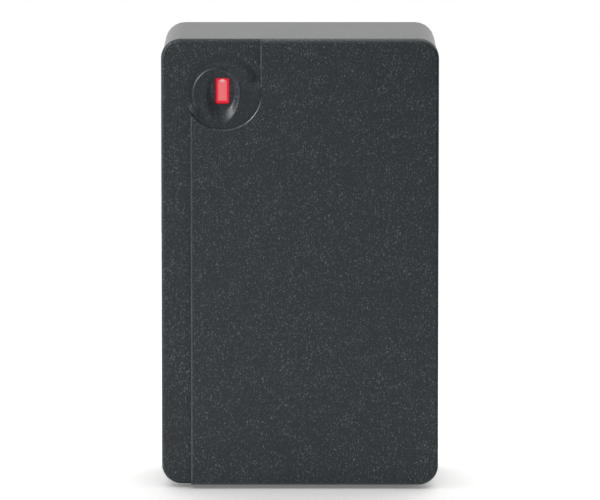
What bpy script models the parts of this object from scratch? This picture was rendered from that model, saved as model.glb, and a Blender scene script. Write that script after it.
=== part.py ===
"""Wall reader for proximity cards: a fixed back housing with the electronics, and a front cover
that hooks on at the top and is held shut by one captive screw at the bottom.

Metres, +Z up. The origin is the centre of the back face, which lies against the wall, and the
front of the reader faces -Y. "Depth" below is a distance from the wall towards the room, so it
is -Y.
"""

import math

import bmesh
import bpy
from mathutils import Matrix, Vector

MM = 0.001

# Overall sizes
WIDTH = 70 * MM
HEIGHT = 116 * MM
CORNER_RADIUS = 5 * MM
COVER_FACE = 23.0 * MM  # wall to the face of the lower strip
PANEL_RAISE = 1.4 * MM  # main panel above the strip

# Clearances
FIT = 0.3 * MM  # between pieces that touch or slide
PAST = 1 * MM  # how far a cutter runs beyond what it cuts
LENS_FIT = 0.1 * MM  # round the glued-in lens
SWING_FIT = 0.6 * MM  # round what swings with the cover

# Front cover
COVER_EDGE = 0.9 * MM  # thickness of the cover's outer flange
COVER_WALL = 2.2 * MM  # thickness of the cover behind the strip
EDGE_ROUND = 0.7 * MM
OVERHANG = 0.2 * MM  # cover beyond the housing on each side
STRIP_WIDTH = 7.4 * MM  # lower strip, from the cover's left edge
STEP_PAST_EYE = 0.15 * MM  # the upper step line lies this far inside the eye's right edge
RIB_THICK = 1.2 * MM
RIB_DEPTH = 2.6 * MM
RIB_TOP = 38 * MM  # the side ribs' top end, above the middle
RIB_END = 12 * MM  # the side ribs' bottom end, above the cover's bottom edge

# Round eye with the indicator window
EYE_FROM_LEFT = 15.6 * MM
EYE_BELOW_TOP = 13.5 * MM
EYE_RADIUS = 9.6 * MM
ISLAND_RADIUS = 6.3 * MM
ISLAND_LEFT = 1.5 * MM  # the island's centre, left of the eye's and below it
ISLAND_BELOW = 0.7 * MM
LOBE_SUNK = 0.3 * MM  # lobe round the eye's right half, below the panel's face
GROOVE_DEPTH = 0.6 * MM
WELL_WIDTH = 8.2 * MM
WELL_HEIGHT = 12.0 * MM
WELL_DEPTH = 0.9 * MM
LENS_WIDTH = 3.4 * MM
LENS_HEIGHT = 6.6 * MM
LENS_LEFT = 0.15 * MM  # the window's centre, left of the eye's
LENS_PROUD = 0.2 * MM  # lens above the well's floor
LENS_FLANGE = 1.0 * MM
LENS_LENGTH = 6.4 * MM
LENS_CORNER = 0.4 * MM
LENS_FLANGE_CORNER = 0.8 * MM

# Back housing
HOUSING_WALL = 2.2 * MM
FLOOR_THICK = 3.0 * MM
DRAFT_INSET = 0.8 * MM  # how much narrower the wall end is, on each side
GASKET_THICK = 1.2 * MM
GASKET_WIDTH = 3.0 * MM
GASKET_INSET = 1.2 * MM
LABEL_WIDTH = 34 * MM
LABEL_HEIGHT = 16 * MM
LABEL_THICK = 0.3 * MM
LABEL_CORNER = 1.2 * MM
LABEL_Z = 21 * MM
WALL_SCREW_SPACING = 83.3 * MM
WALL_SLOT_WIDTH = 4.6 * MM
WALL_SLOT_LENGTH = 8 * MM

# Hinge hooks at the top
HOOK_X = 20 * MM
HOOK_WIDTH = 8 * MM
HOOK_STEM = 1.4 * MM
HOOK_LIP = 1.4 * MM
HOOK_REACH = 3.8 * MM  # behind the cover's inner face
HOOK_GRIP = 0.9 * MM  # lip above the inner face of the housing's top wall
HOOK_PLAY = 1.0 * MM

# Circuit board
BOARD_GAP = 6.3 * MM  # housing floor to the board's back
BOARD_THICK = 1.6 * MM
BOARD_CORNER = 3 * MM
BOARD_SIDE_MARGIN = 4.5 * MM  # cover's outline to the board's edge
BOARD_TOP_MARGIN = 6 * MM
BOARD_BOTTOM_MARGIN = 8 * MM
BOARD_SCREW_INSET = 6.5 * MM  # screw centres from the board's side edges
BOARD_SCREW_BELOW = 22 * MM  # upper pair, from the board's top edge
BOARD_SCREW_ABOVE = 8 * MM  # lower pair, from the board's bottom edge
COLUMN_INSET = 10.5 * MM  # side columns of components, from the board's side edges
BOARD_SCREW_SIZE = 2.5 * MM
BOARD_SCREW_LENGTH = 5.0 * MM
BOARD_SCREW_HEAD_TALL = 1.5 * MM
BOARD_SCREW_CROSS = 1.8 * MM  # across the recess in its head
BOARD_SCREW_CROSS_DEEP = 0.8 * MM
DRIVER_SLOT = 0.5 * MM  # width of the slots that a driver turns
POST_DIAMETER = 6 * MM
ACCESS_DIAMETER = 13 * MM  # holes in the board for the wall screws
ENTRY_WIDTH = 26 * MM  # cable entry through the housing floor and the board
ENTRY_TOP = -8 * MM
ENTRY_BOTTOM = -24 * MM
ENTRY_CORNER = 2 * MM

# Antenna
FORMER_WIDTH = 3.0 * MM
FORMER_HEIGHT = 3.1 * MM
CHANNEL_DEPTH = 1.8 * MM
FORMER_FLANGE = 0.6 * MM
FORMER_CORNER = 4 * MM

# Components on the board, as x, z, width, height and how far they stand off it
CONTROLLER_CHIP = (0, 10 * MM, 10 * MM, 10 * MM, 1.4 * MM)
RADIO_CHIP = (-13 * MM, 21 * MM, 8.6 * MM, 3.9 * MM, 1.5 * MM)
VOLTAGE_REGULATOR = (13 * MM, 24 * MM, 6.5 * MM, 6.1 * MM, 2.3 * MM)
CRYSTAL = (-14 * MM, 10 * MM, 11 * MM, 4.4 * MM, 3.4 * MM)
TUNING_CAPACITOR = (0, 26 * MM, 7.2 * MM, 3.0 * MM, 6.0 * MM)
CHIP_EDGE = 0.2 * MM
CAN_EDGE = 0.6 * MM
LED_SIZE = 4.4 * MM
LED_TALL = 2.6 * MM

# Round components in the side columns, as z, diameter and how far they stand off the board
FILTER_CAPACITOR = (-8 * MM, 6.3 * MM, 5.8 * MM)
BULK_CAPACITOR = (1 * MM, 6.3 * MM, 5.8 * MM)
POWER_INDUCTOR = (-18 * MM, 7.6 * MM, 3.6 * MM)
SOUNDER_Z = -9 * MM
SOUNDER_DIAMETER = 10 * MM
SOUNDER_TALL = 5.5 * MM
SOUND_HOLE = 2 * MM
SOUND_HOLE_DEEP = 1.0 * MM

# Terminal block
WAYS = 8
PITCH = 3.5 * MM
TERMINAL_TOP = -27 * MM
TERMINAL_DEEP = 7.6 * MM
TERMINAL_TALL = 7.6 * MM
CLAMP_DIAMETER = 2.4 * MM
CLAMP_LENGTH = 4.0 * MM
CLAMP_SUNK = 0.8 * MM
CLAMP_SLOT_DEEP = 0.6 * MM
BLOCK_END = 0.5 * MM  # plastic beyond the outer clamps
WIRE_ENTRY_WIDTH = 2.2 * MM
WIRE_ENTRY_TALL = 2.4 * MM
WIRE_ENTRY_LIFT = 1.0 * MM  # wire entries above the block's foot
WIRE_PAST_SCREW = 0.5 * MM

# Tamper switch
TAMPER_Z = 8 * MM
TAMPER_SIZE = 7 * MM
TAMPER_TALL = 7.5 * MM
TAMPER_ROOF = 1.0 * MM
TAMPER_BORE = 5.4 * MM
TAMPER_TRAVEL = 1.5 * MM
PLUNGER_DIAMETER = 3.2 * MM
COLLAR_DIAMETER = 4.8 * MM
COLLAR_THICK = 0.8 * MM
SPRING_WIRE = 0.35 * MM
SPRING_TURNS = 3.5
SPRING_STEPS = 14  # points in each turn

# Captive security screw
SCREW_DIAMETER = 2.5 * MM
SCREW_HEAD = 4.8 * MM
SCREW_HEAD_TALL = 1.2 * MM
SCREW_TRAVEL = 0.9 * MM  # two turns of its thread
SCREW_BEHIND_RIM = 4.0 * MM  # screw axis behind the housing's rim
SCREW_LENGTH = 8.0 * MM
SOCKET_RADIUS = 0.9 * MM
SOCKET_DEEP = 0.9 * MM
RECESS_DEPTH = 1.3 * MM
TAB_WIDTH = 9 * MM
TAB_DEEP = 6 * MM
TAB_THICK = 3.6 * MM
INSERT_DIAMETER = 4.4 * MM
CLIP_DIAMETER = 4.4 * MM
CLIP_THICK = 0.6 * MM

# Worked out from the sizes above
HALF_W = WIDTH / 2
HALF_H = HEIGHT / 2
PANEL_FACE = COVER_FACE + PANEL_RAISE
FLANGE_BACK = COVER_FACE - COVER_EDGE
RIM = FLANGE_BACK - FIT  # depth of the housing's front rim
COVER_BACK = COVER_FACE - COVER_WALL  # inner face of the cover
BACK_W = HALF_W - OVERHANG - DRAFT_INSET
BACK_H = HALF_H - OVERHANG - DRAFT_INSET
RIM_W = HALF_W - OVERHANG
RIM_H = HALF_H - OVERHANG
EYE_X = -HALF_W + EYE_FROM_LEFT
EYE_Z = HALF_H - EYE_BELOW_TOP
ISLAND_X = EYE_X - ISLAND_LEFT
ISLAND_Z = EYE_Z - ISLAND_BELOW
LENS_X = EYE_X - LENS_LEFT
LENS_Z = EYE_Z
BOARD_HALF_W = HALF_W - BOARD_SIDE_MARGIN
BOARD_TOP = HALF_H - BOARD_TOP_MARGIN
BOARD_BOTTOM = -HALF_H + BOARD_BOTTOM_MARGIN
BOARD_HALF_H = (BOARD_TOP - BOARD_BOTTOM) / 2
BOARD_CENTRE = (0, (BOARD_TOP + BOARD_BOTTOM) / 2)
BOARD_SCREW_X = BOARD_HALF_W - BOARD_SCREW_INSET
BOARD_SCREW_HEIGHTS = (BOARD_TOP - BOARD_SCREW_BELOW, BOARD_BOTTOM + BOARD_SCREW_ABOVE)
COLUMN_X = BOARD_HALF_W - COLUMN_INSET
BOARD_BACK = FLOOR_THICK + BOARD_GAP
BOARD_FRONT = BOARD_BACK + BOARD_THICK
PARTS_BACK = BOARD_FRONT + FIT  # where what stands on the board starts
WELL_FLOOR = COVER_FACE - WELL_DEPTH
SCREW_DEPTH = RIM - SCREW_BEHIND_RIM
TAB_BOTTOM = -(RIM_H - HOUSING_WALL) + SWING_FIT + FIT
HINGE_Z = HALF_H - FIT / 3
HINGE_DEPTH = FLANGE_BACK - FIT / 2


def clear_scene():
    for old in list(bpy.data.objects):
        bpy.data.objects.remove(old, do_unlink=True)


def new_collection(name):
    collection = bpy.data.collections.new(name)
    bpy.context.scene.collection.children.link(collection)
    return collection


clear_scene()
PARTS = new_collection("card_reader")
CUTTERS = new_collection("cutters")


def material(name, colour, roughness, metallic=0.0):
    made = bpy.data.materials.get(name)
    if made is None:
        made = bpy.data.materials.new(name)
        made.use_nodes = True
        shader = made.node_tree.nodes["Principled BSDF"]
        shader.inputs["Base Color"].default_value = (*colour, 1)
        shader.inputs["Roughness"].default_value = roughness
        shader.inputs["Metallic"].default_value = metallic
    return made


DARK_PLASTIC = ("dark_plastic", (0.035, 0.042, 0.047), 0.5)
SMOOTH_PLASTIC = ("smooth_dark_plastic", (0.035, 0.042, 0.047), 0.35)
RED_LENS = ("red_lens", (0.8, 0.02, 0.04), 0.15)
BLACK_RUBBER = ("black_rubber", (0.02, 0.02, 0.02), 0.8)
BOARD_GREEN = ("board_green", (0.02, 0.16, 0.06), 0.45)
BLACK_EPOXY = ("black_epoxy", (0.02, 0.02, 0.022), 0.4)
GREEN_NYLON = ("green_nylon", (0.03, 0.3, 0.1), 0.4)
NATURAL_NYLON = ("natural_nylon", (0.75, 0.72, 0.62), 0.45)
WHITE_PAPER = ("white_film", (0.8, 0.8, 0.78), 0.6)
COPPER = ("enamelled_copper", (0.75, 0.27, 0.1), 0.3, 1.0)
BRASS = ("brass", (0.8, 0.6, 0.25), 0.3, 1.0)
STEEL = ("zinc_plated_steel", (0.6, 0.6, 0.6), 0.3, 1.0)
TIN = ("tinned_can", (0.7, 0.7, 0.72), 0.25, 1.0)


def add_object(name, mesh, finish=None):
    """A part if it has a finish, and otherwise a cutter."""
    made = bpy.data.objects.new(name, mesh)
    if finish:
        PARTS.objects.link(made)
        mesh.materials.append(material(*finish))
    else:
        CUTTERS.objects.link(made)
        made.hide_render = True
        made.display_type = "WIRE"
    return made


def finish_mesh(name, bm, finish=None):
    mesh = bpy.data.meshes.new(name)
    bmesh.ops.recalc_face_normals(bm, faces=bm.faces)
    bm.to_mesh(mesh)
    bm.free()
    mesh.shade_smooth()
    mesh.set_sharp_from_angle(angle=math.radians(30))
    return add_object(name, mesh, finish)


def box_bmesh(x, depth, z):
    """A box between pairs of limits, as (low, high)."""
    bm = bmesh.new()
    size = Vector((x[1] - x[0], depth[1] - depth[0], z[1] - z[0]))
    middle = Vector((sum(x) / 2, -sum(depth) / 2, sum(z) / 2))
    bmesh.ops.create_cube(bm, size=1)
    bmesh.ops.scale(bm, vec=size, verts=bm.verts)
    bmesh.ops.translate(bm, vec=middle, verts=bm.verts)
    return bm


def box(name, x, depth, z, finish=None, edge=0):
    bm = box_bmesh(x, depth, z)
    if edge:
        bmesh.ops.bevel(bm, geom=bm.edges, offset=edge, segments=2, profile=0.5, affect="EDGES", material=-1)
    return finish_mesh(name, bm, finish)


def runs_along(edge, axis):
    line = edge.verts[1].co - edge.verts[0].co
    return abs(line[axis]) > 0.99 * line.length


def slab_bmesh(half_w, half_h, radius, depth, segments=6, taper=0, centre=(0, 0)):
    """A plate with rounded corners. Its wall end is smaller by taper on each side."""
    x, z = centre
    bm = box_bmesh((x - half_w, x + half_w), depth, (z - half_h, z + half_h))
    if radius:
        corners = [e for e in bm.edges if runs_along(e, 1)]
        bmesh.ops.bevel(
            bm, geom=corners, offset=radius, segments=segments, profile=0.5, affect="EDGES", material=-1
        )
    if taper:
        wall_end = [v for v in bm.verts if v.co.y > -sum(depth) / 2]
        for vertex in wall_end:
            vertex.co.x -= math.copysign(taper, vertex.co.x - x)
            vertex.co.z -= math.copysign(taper, vertex.co.z - z)
    return bm


def slab(name, half_w, half_h, radius, depth, finish=None, segments=6, taper=0, centre=(0, 0), edge=0):
    """A rounded plate, with its front edge rounded by edge."""
    bm = slab_bmesh(half_w, half_h, radius, depth, segments, taper, centre)
    if edge:
        front = -max(depth)
        rim = [e for e in bm.edges if all(abs(v.co.y - front) < 1e-6 for v in e.verts)]
        bmesh.ops.bevel(bm, geom=rim, offset=edge, segments=3, profile=0.5, affect="EDGES", material=-1)
    return finish_mesh(name, bm, finish)


def cylinder_bmesh(radius, length, sides=24, top_radius=None):
    """Along +Z, from 0 to length."""
    bm = bmesh.new()
    bmesh.ops.create_cone(
        bm,
        cap_ends=True,
        segments=sides,
        radius1=radius,
        radius2=radius if top_radius is None else top_radius,
        depth=length,
    )
    bmesh.ops.translate(bm, vec=(0, 0, length / 2), verts=bm.verts)
    return bm


def stand_out(bm, x, depth, z):
    """Turns what was made along +Z to face the room, with its foot at the given place."""
    bmesh.ops.rotate(bm, cent=(0, 0, 0), matrix=Matrix.Rotation(math.radians(90), 3, "X"), verts=bm.verts)
    bmesh.ops.translate(bm, vec=(x, -depth, z), verts=bm.verts)


def disc(name, radius, depth, x, z, finish=None, sides=24, front_radius=None):
    """A round piece that faces the room, between two depths."""
    bm = cylinder_bmesh(radius, depth[1] - depth[0], sides, front_radius)
    stand_out(bm, x, depth[0], z)
    return finish_mesh(name, bm, finish)


def rod(name, radius, x, depth, z, finish=None, sides=24):
    """A round piece along Z, between two heights."""
    bm = cylinder_bmesh(radius, z[1] - z[0], sides)
    bmesh.ops.translate(bm, vec=(x, -depth, z[0]), verts=bm.verts)
    return finish_mesh(name, bm, finish)


def boolean(target, other, operation):
    step = target.modifiers.new(f"{operation.lower()}_{other.name}", "BOOLEAN")
    step.operation = operation
    step.solver = "EXACT"
    step.object = other


def cut(target, *cutters):
    for cutter in cutters:
        boolean(target, cutter, "DIFFERENCE")


def join(target, *additions):
    for addition in additions:
        boolean(target, addition, "UNION")


def set_origin(piece, x, depth, z):
    """Moves an object's origin to a point on its joint's axis, leaving its shape in place."""
    point = Vector((x, -depth, z))
    piece.data.transform(Matrix.Translation(-point))
    piece.location = point


def housing_half(depth, half_at_wall):
    """Half the housing's outer width or height at a depth, along its drafted sides."""
    return half_at_wall + DRAFT_INSET * depth / RIM


# ---------------------------------------------------------------- back housing


def make_housing_shell():
    shell = slab("back_housing", RIM_W, RIM_H, CORNER_RADIUS, (0, RIM), SMOOTH_PLASTIC, taper=DRAFT_INSET)
    inner_radius = CORNER_RADIUS - HOUSING_WALL
    hollow_taper = DRAFT_INSET * (RIM + FIT - FLOOR_THICK) / RIM
    hollow = slab(
        "housing_hollow",
        RIM_W - HOUSING_WALL + DRAFT_INSET * FIT / RIM,
        RIM_H - HOUSING_WALL + DRAFT_INSET * FIT / RIM,
        inner_radius,
        (FLOOR_THICK, RIM + FIT),
        taper=hollow_taper,
    )
    cut(shell, hollow)
    return shell


def add_posts(shell):
    for side in (-1, 1):
        for row, z in enumerate(BOARD_SCREW_HEIGHTS):
            name = f"post_{'left' if side < 0 else 'right'}_{row}"
            x = side * BOARD_SCREW_X
            top = BOARD_BACK - FIT
            join(shell, disc(name, POST_DIAMETER / 2, (FLOOR_THICK / 2, top), x, z))
            hole = disc(f"{name}_hole", BOARD_SCREW_SIZE / 2 + FIT, (FLOOR_THICK, top + FIT), x, z, sides=16)
            cut(shell, hole)


def cut_floor_openings(shell):
    through = (-FIT, FLOOR_THICK + FIT)
    half = ENTRY_WIDTH / 2
    cut(
        shell,
        slab(
            "cable_entry",
            half,
            (ENTRY_TOP - ENTRY_BOTTOM) / 2,
            ENTRY_CORNER,
            through,
            segments=4,
            centre=(0, (ENTRY_TOP + ENTRY_BOTTOM) / 2),
        ),
    )
    for side, place in ((1, "top"), (-1, "bottom")):
        centre = (0, side * WALL_SCREW_SPACING / 2)
        slot = slab(
            f"wall_slot_{place}",
            WALL_SLOT_WIDTH / 2,
            WALL_SLOT_LENGTH / 2,
            WALL_SLOT_WIDTH / 2 - FIT / 10,
            through,
            centre=centre,
        )
        cut(shell, slot)


def cut_back_recesses(shell):
    deep = GASKET_THICK + FIT
    outer_w, outer_h = BACK_W - GASKET_INSET + FIT, BACK_H - GASKET_INSET + FIT
    channel = slab("gasket_channel", outer_w, outer_h, CORNER_RADIUS - GASKET_INSET, (-FIT, deep))
    inner = GASKET_WIDTH + 2 * FIT
    core = slab(
        "gasket_core", outer_w - inner, outer_h - inner, GASKET_INSET, (-2 * FIT, deep + FIT)
    )
    cut(channel, core)
    label = slab(
        "label_recess",
        LABEL_WIDTH / 2 + FIT,
        LABEL_HEIGHT / 2 + FIT,
        LABEL_CORNER + FIT,
        (-FIT, LABEL_THICK + FIT),
        segments=3,
        centre=(0, LABEL_Z),
    )
    cut(shell, channel, label)


def cut_hook_pockets(shell):
    """Pockets in the top wall that the cover's hooks catch in."""
    hook_back = COVER_BACK - HOOK_REACH
    inner = RIM_H - HOUSING_WALL
    for side, place in ((-1, "left"), (1, "right")):
        half = HOOK_WIDTH / 2 + SWING_FIT
        pocket = box(
            f"hook_pocket_{place}",
            (side * HOOK_X - half, side * HOOK_X + half),
            (hook_back - SWING_FIT, hook_back + HOOK_LIP + HOOK_PLAY),
            (inner - PAST, inner + HOOK_GRIP + FIT),
        )
        cut(shell, pocket)


def cut_screw_slot(shell):
    """A slot in the bottom wall, open to the front, and the screw head's recess round it."""
    outer = -housing_half(SCREW_DEPTH, BACK_H)
    slot_half = SCREW_DIAMETER / 2 + FIT
    head_half = SCREW_HEAD / 2 + FIT
    below = outer - SWING_FIT
    slot = box(
        "screw_slot",
        (-slot_half, slot_half),
        (SCREW_DEPTH - slot_half, RIM + FIT),
        (below, -(RIM_H - HOUSING_WALL) + SWING_FIT),
    )
    recess = box(
        "head_recess",
        (-head_half, head_half),
        (SCREW_DEPTH - head_half, RIM + FIT),
        (below, outer + RECESS_DEPTH),
    )
    cut(shell, slot, recess)


def make_back_housing():
    shell = make_housing_shell()
    add_posts(shell)
    cut_floor_openings(shell)
    cut_back_recesses(shell)
    cut_hook_pockets(shell)
    cut_screw_slot(shell)


def make_wall_gasket():
    outer_w, outer_h = BACK_W - GASKET_INSET, BACK_H - GASKET_INSET
    gasket = slab(
        "wall_gasket", outer_w, outer_h, CORNER_RADIUS - GASKET_INSET, (0, GASKET_THICK), BLACK_RUBBER
    )
    core = slab(
        "gasket_hole",
        outer_w - GASKET_WIDTH,
        outer_h - GASKET_WIDTH,
        GASKET_INSET,
        (-FIT, GASKET_THICK + FIT),
    )
    cut(gasket, core)


def make_rating_plate():
    slab(
        "rating_plate",
        LABEL_WIDTH / 2,
        LABEL_HEIGHT / 2,
        LABEL_CORNER,
        (0, LABEL_THICK),
        WHITE_PAPER,
        segments=3,
        centre=(0, LABEL_Z),
    )


# ----------------------------------------------------------------- front cover


def make_panel_region():
    """What the raised panel covers: right of the step, which steps back round the eye."""
    left = -HALF_W + STRIP_WIDTH
    depth = (COVER_FACE - COVER_WALL, PANEL_FACE + PAST)
    beyond = 2 * PAST
    region = box("panel_region", (left, HALF_W + beyond), depth, (-HALF_H - beyond, HALF_H + beyond))
    upper_left = box(
        "upper_left_region",
        (left - beyond, EYE_X + EYE_RADIUS - STEP_PAST_EYE),
        (depth[0] - PAST, depth[1] + PAST),
        (EYE_Z, HALF_H + 2 * beyond),
    )
    eye = disc("eye_region", EYE_RADIUS, (depth[0] - PAST, depth[1] + PAST), EYE_X, EYE_Z, sides=64)
    cut(region, upper_left, eye)
    return region


def make_cover_plate():
    """The flange with its rounded edge, the raised panel and the thicker middle."""
    cover = slab(
        "front_cover", HALF_W, HALF_H, CORNER_RADIUS, (FLANGE_BACK, COVER_FACE), DARK_PLASTIC, edge=EDGE_ROUND
    )
    panel = slab("panel", HALF_W, HALF_H, CORNER_RADIUS, (FLANGE_BACK, PANEL_FACE), edge=EDGE_ROUND)
    boolean(panel, make_panel_region(), "INTERSECT")
    join(cover, panel, make_eye_lobe())
    step_in = OVERHANG + HOUSING_WALL + FIT
    middle = slab(
        "cover_middle",
        HALF_W - step_in,
        HALF_H - step_in,
        CORNER_RADIUS - step_in + FIT,
        (COVER_BACK, FLANGE_BACK + FIT),
    )
    join(cover, middle)
    return cover


def add_cover_ribs(cover):
    """Ribs that locate the cover between the housing's side walls."""
    outer = RIM_W - HOUSING_WALL - SWING_FIT
    for side, place in ((-1, "left"), (1, "right")):
        ends = sorted((side * outer, side * (outer - RIB_THICK)))
        rib = box(
            f"rib_{place}",
            ends,
            (COVER_BACK - RIB_DEPTH, COVER_BACK + FIT),
            (-HALF_H + RIB_END, RIB_TOP),
        )
        join(cover, rib)


def add_hooks(cover):
    inner = RIM_H - HOUSING_WALL
    hook_back = COVER_BACK - HOOK_REACH
    stem_top = inner - 2 * FIT
    for side, place in ((-1, "left"), (1, "right")):
        x = (side * HOOK_X - HOOK_WIDTH / 2, side * HOOK_X + HOOK_WIDTH / 2)
        stem = box(f"hook_stem_{place}", x, (hook_back, COVER_BACK + FIT), (stem_top - HOOK_STEM, stem_top))
        inset = 0.5 * FIT
        lip = box(
            f"hook_lip_{place}",
            (x[0] + inset, x[1] - inset),
            (hook_back + inset, hook_back + HOOK_LIP),
            (stem_top - HOOK_STEM / 2, inner + HOOK_GRIP),
        )
        join(cover, stem, lip)


def add_screw_tab(cover):
    tab = box(
        "screw_tab",
        (-TAB_WIDTH / 2, TAB_WIDTH / 2),
        (SCREW_DEPTH - TAB_DEEP / 2, COVER_BACK + FIT),
        (TAB_BOTTOM, TAB_BOTTOM + TAB_THICK),
    )
    join(cover, tab)
    hole = rod(
        "insert_hole",
        INSERT_DIAMETER / 2 + FIT,
        0,
        SCREW_DEPTH,
        (TAB_BOTTOM - PAST, TAB_BOTTOM + TAB_THICK + PAST),
    )
    cut(cover, hole)


def eye_half_block(name, side):
    """A block over the eye's right half for side 1, or its left half for side -1."""
    near, beyond = EYE_X - max(side, 0) * FIT, EYE_X + side * 2 * EYE_RADIUS
    reach = (COVER_BACK - 2 * PAST, PANEL_FACE + 2 * PAST)
    return box(name, sorted((near, beyond)), reach, (EYE_Z - 2 * EYE_RADIUS, EYE_Z + 2 * EYE_RADIUS))


def island_disc(name):
    reach = (COVER_BACK - PAST, PANEL_FACE + PAST)
    return disc(name, ISLAND_RADIUS, reach, ISLAND_X, ISLAND_Z, sides=64)


def make_eye_lobe():
    """The panel's lobe round the eye's right half, up to the island's edge."""
    reach = (FLANGE_BACK, PANEL_FACE - LOBE_SUNK)
    lobe = disc("eye_lobe", EYE_RADIUS + FIT, reach, EYE_X, EYE_Z, sides=64)
    cut(lobe, island_disc("lobe_hole"), eye_half_block("left_half", -1))
    return lobe


def make_groove_cutter():
    """The groove round the eye's left half, between its rim and its island."""
    groove = disc(
        "eye_groove", EYE_RADIUS - FIT, (COVER_FACE - GROOVE_DEPTH, PANEL_FACE + PAST / 2), EYE_X, EYE_Z, sides=64
    )
    cut(groove, island_disc("groove_core"), eye_half_block("right_half", 1))
    return groove


def make_well_cutter():
    """An oval dish round the indicator window: a flattened ball."""
    bm = bmesh.new()
    bmesh.ops.create_uvsphere(bm, u_segments=32, v_segments=16, radius=1)
    size = Vector((WELL_WIDTH / 2, WELL_DEPTH, WELL_HEIGHT / 2))
    bmesh.ops.scale(bm, vec=size, verts=bm.verts)
    bmesh.ops.translate(bm, vec=(EYE_X, -COVER_FACE, EYE_Z), verts=bm.verts)
    return finish_mesh("eye_well", bm)


def make_window_cutter():
    return box(
        "lens_window",
        (LENS_X - LENS_WIDTH / 2 - LENS_FIT, LENS_X + LENS_WIDTH / 2 + LENS_FIT),
        (COVER_BACK - PAST, COVER_FACE + PAST),
        (LENS_Z - LENS_HEIGHT / 2 - LENS_FIT, LENS_Z + LENS_HEIGHT / 2 + LENS_FIT),
    )


def make_front_cover():
    cover = make_cover_plate()
    add_cover_ribs(cover)
    add_hooks(cover)
    add_screw_tab(cover)
    cut(cover, make_groove_cutter(), make_well_cutter(), make_window_cutter())
    set_origin(cover, 0, HINGE_DEPTH, HINGE_Z)


def make_led_lens():
    """A window in the cover, with a flange behind it and a light pipe down to the emitter."""
    half_w, half_h = LENS_WIDTH / 2, LENS_HEIGHT / 2
    front = WELL_FLOOR + LENS_PROUD
    flange_front = COVER_BACK - LENS_FIT
    lens = slab(
        "led_lens",
        half_w,
        half_h,
        LENS_CORNER,
        (front - LENS_LENGTH, front),
        RED_LENS,
        segments=3,
        centre=(LENS_X, LENS_Z),
    )
    flange = slab(
        "lens_flange",
        half_w + LENS_FLANGE,
        half_h + LENS_FLANGE,
        LENS_FLANGE_CORNER,
        (flange_front - LENS_FLANGE, flange_front),
        segments=3,
        centre=(LENS_X, LENS_Z),
    )
    join(lens, flange)


# ------------------------------------------------------------------ electronics


def make_circuit_board():
    board = slab(
        "circuit_board",
        BOARD_HALF_W,
        BOARD_HALF_H,
        BOARD_CORNER,
        (BOARD_BACK, BOARD_FRONT),
        BOARD_GREEN,
        segments=4,
        centre=BOARD_CENTRE,
    )
    through = (BOARD_BACK - PAST, BOARD_FRONT + PAST)
    for side, place in ((1, "top"), (-1, "bottom")):
        z = side * WALL_SCREW_SPACING / 2
        cut(board, disc(f"access_{place}", ACCESS_DIAMETER / 2, through, 0, z, sides=32))
    window = slab(
        "board_window",
        ENTRY_WIDTH / 2,
        (ENTRY_TOP - ENTRY_BOTTOM) / 2,
        ENTRY_CORNER,
        through,
        segments=4,
        centre=(0, (ENTRY_TOP + ENTRY_BOTTOM) / 2),
    )
    cut(board, window)
    for number, (x, z) in enumerate(board_screw_places(), 1):
        hole = disc(f"board_hole_{number}", BOARD_SCREW_SIZE / 2 + FIT, through, x, z, sides=16)
        cut(board, hole)


def board_screw_places():
    return [(side * BOARD_SCREW_X, z) for z in BOARD_SCREW_HEIGHTS for side in (-1, 1)]


def make_board_screws():
    for number, (x, z) in enumerate(board_screw_places(), 1):
        head_back = BOARD_FRONT + FIT
        screw = disc(
            f"board_screw_{number}",
            BOARD_SCREW_SIZE / 2,
            (head_back - BOARD_SCREW_LENGTH, head_back + BOARD_SCREW_HEAD_TALL / 2),
            x,
            z,
            STEEL,
            sides=16,
        )
        head = disc(
            f"board_screw_head_{number}",
            BOARD_SCREW_SIZE,
            (head_back, head_back + BOARD_SCREW_HEAD_TALL),
            x,
            z,
            sides=20,
            front_radius=0.75 * BOARD_SCREW_SIZE,
        )
        join(screw, head)
        long, narrow = BOARD_SCREW_CROSS / 2, DRIVER_SLOT / 2
        front = head_back + BOARD_SCREW_HEAD_TALL
        for turn, (half_x, half_z) in enumerate(((long, narrow), (narrow, long))):
            depth = (front - BOARD_SCREW_CROSS_DEEP, front + PAST)
            slot = box(
                f"board_screw_slot_{number}_{turn}", (x - half_x, x + half_x), depth, (z - half_z, z + half_z)
            )
            cut(screw, slot)


def make_coil_former():
    half_w, half_h, centre = BOARD_HALF_W, BOARD_HALF_H, BOARD_CENTRE
    depth = (PARTS_BACK, PARTS_BACK + FORMER_HEIGHT)
    former = slab(
        "coil_former", half_w, half_h, FORMER_CORNER, depth, NATURAL_NYLON, segments=4, centre=centre
    )
    hole = slab(
        "former_hole",
        half_w - FORMER_WIDTH,
        half_h - FORMER_WIDTH,
        FORMER_CORNER - FORMER_WIDTH,
        (depth[0] - PAST, depth[1] + PAST),
        segments=4,
        centre=centre,
    )
    channel_depth = (depth[0] + FORMER_FLANGE, depth[1] - FORMER_FLANGE)
    ring = slab(
        "channel_ring",
        half_w + PAST,
        half_h + PAST,
        FORMER_CORNER + PAST,
        channel_depth,
        segments=4,
        centre=centre,
    )
    core = slab(
        "channel_core",
        half_w - CHANNEL_DEPTH,
        half_h - CHANNEL_DEPTH,
        FORMER_CORNER - CHANNEL_DEPTH,
        (channel_depth[0] - PAST, channel_depth[1] + PAST),
        segments=4,
        centre=centre,
    )
    cut(ring, core)
    cut(former, hole, ring)


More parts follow.
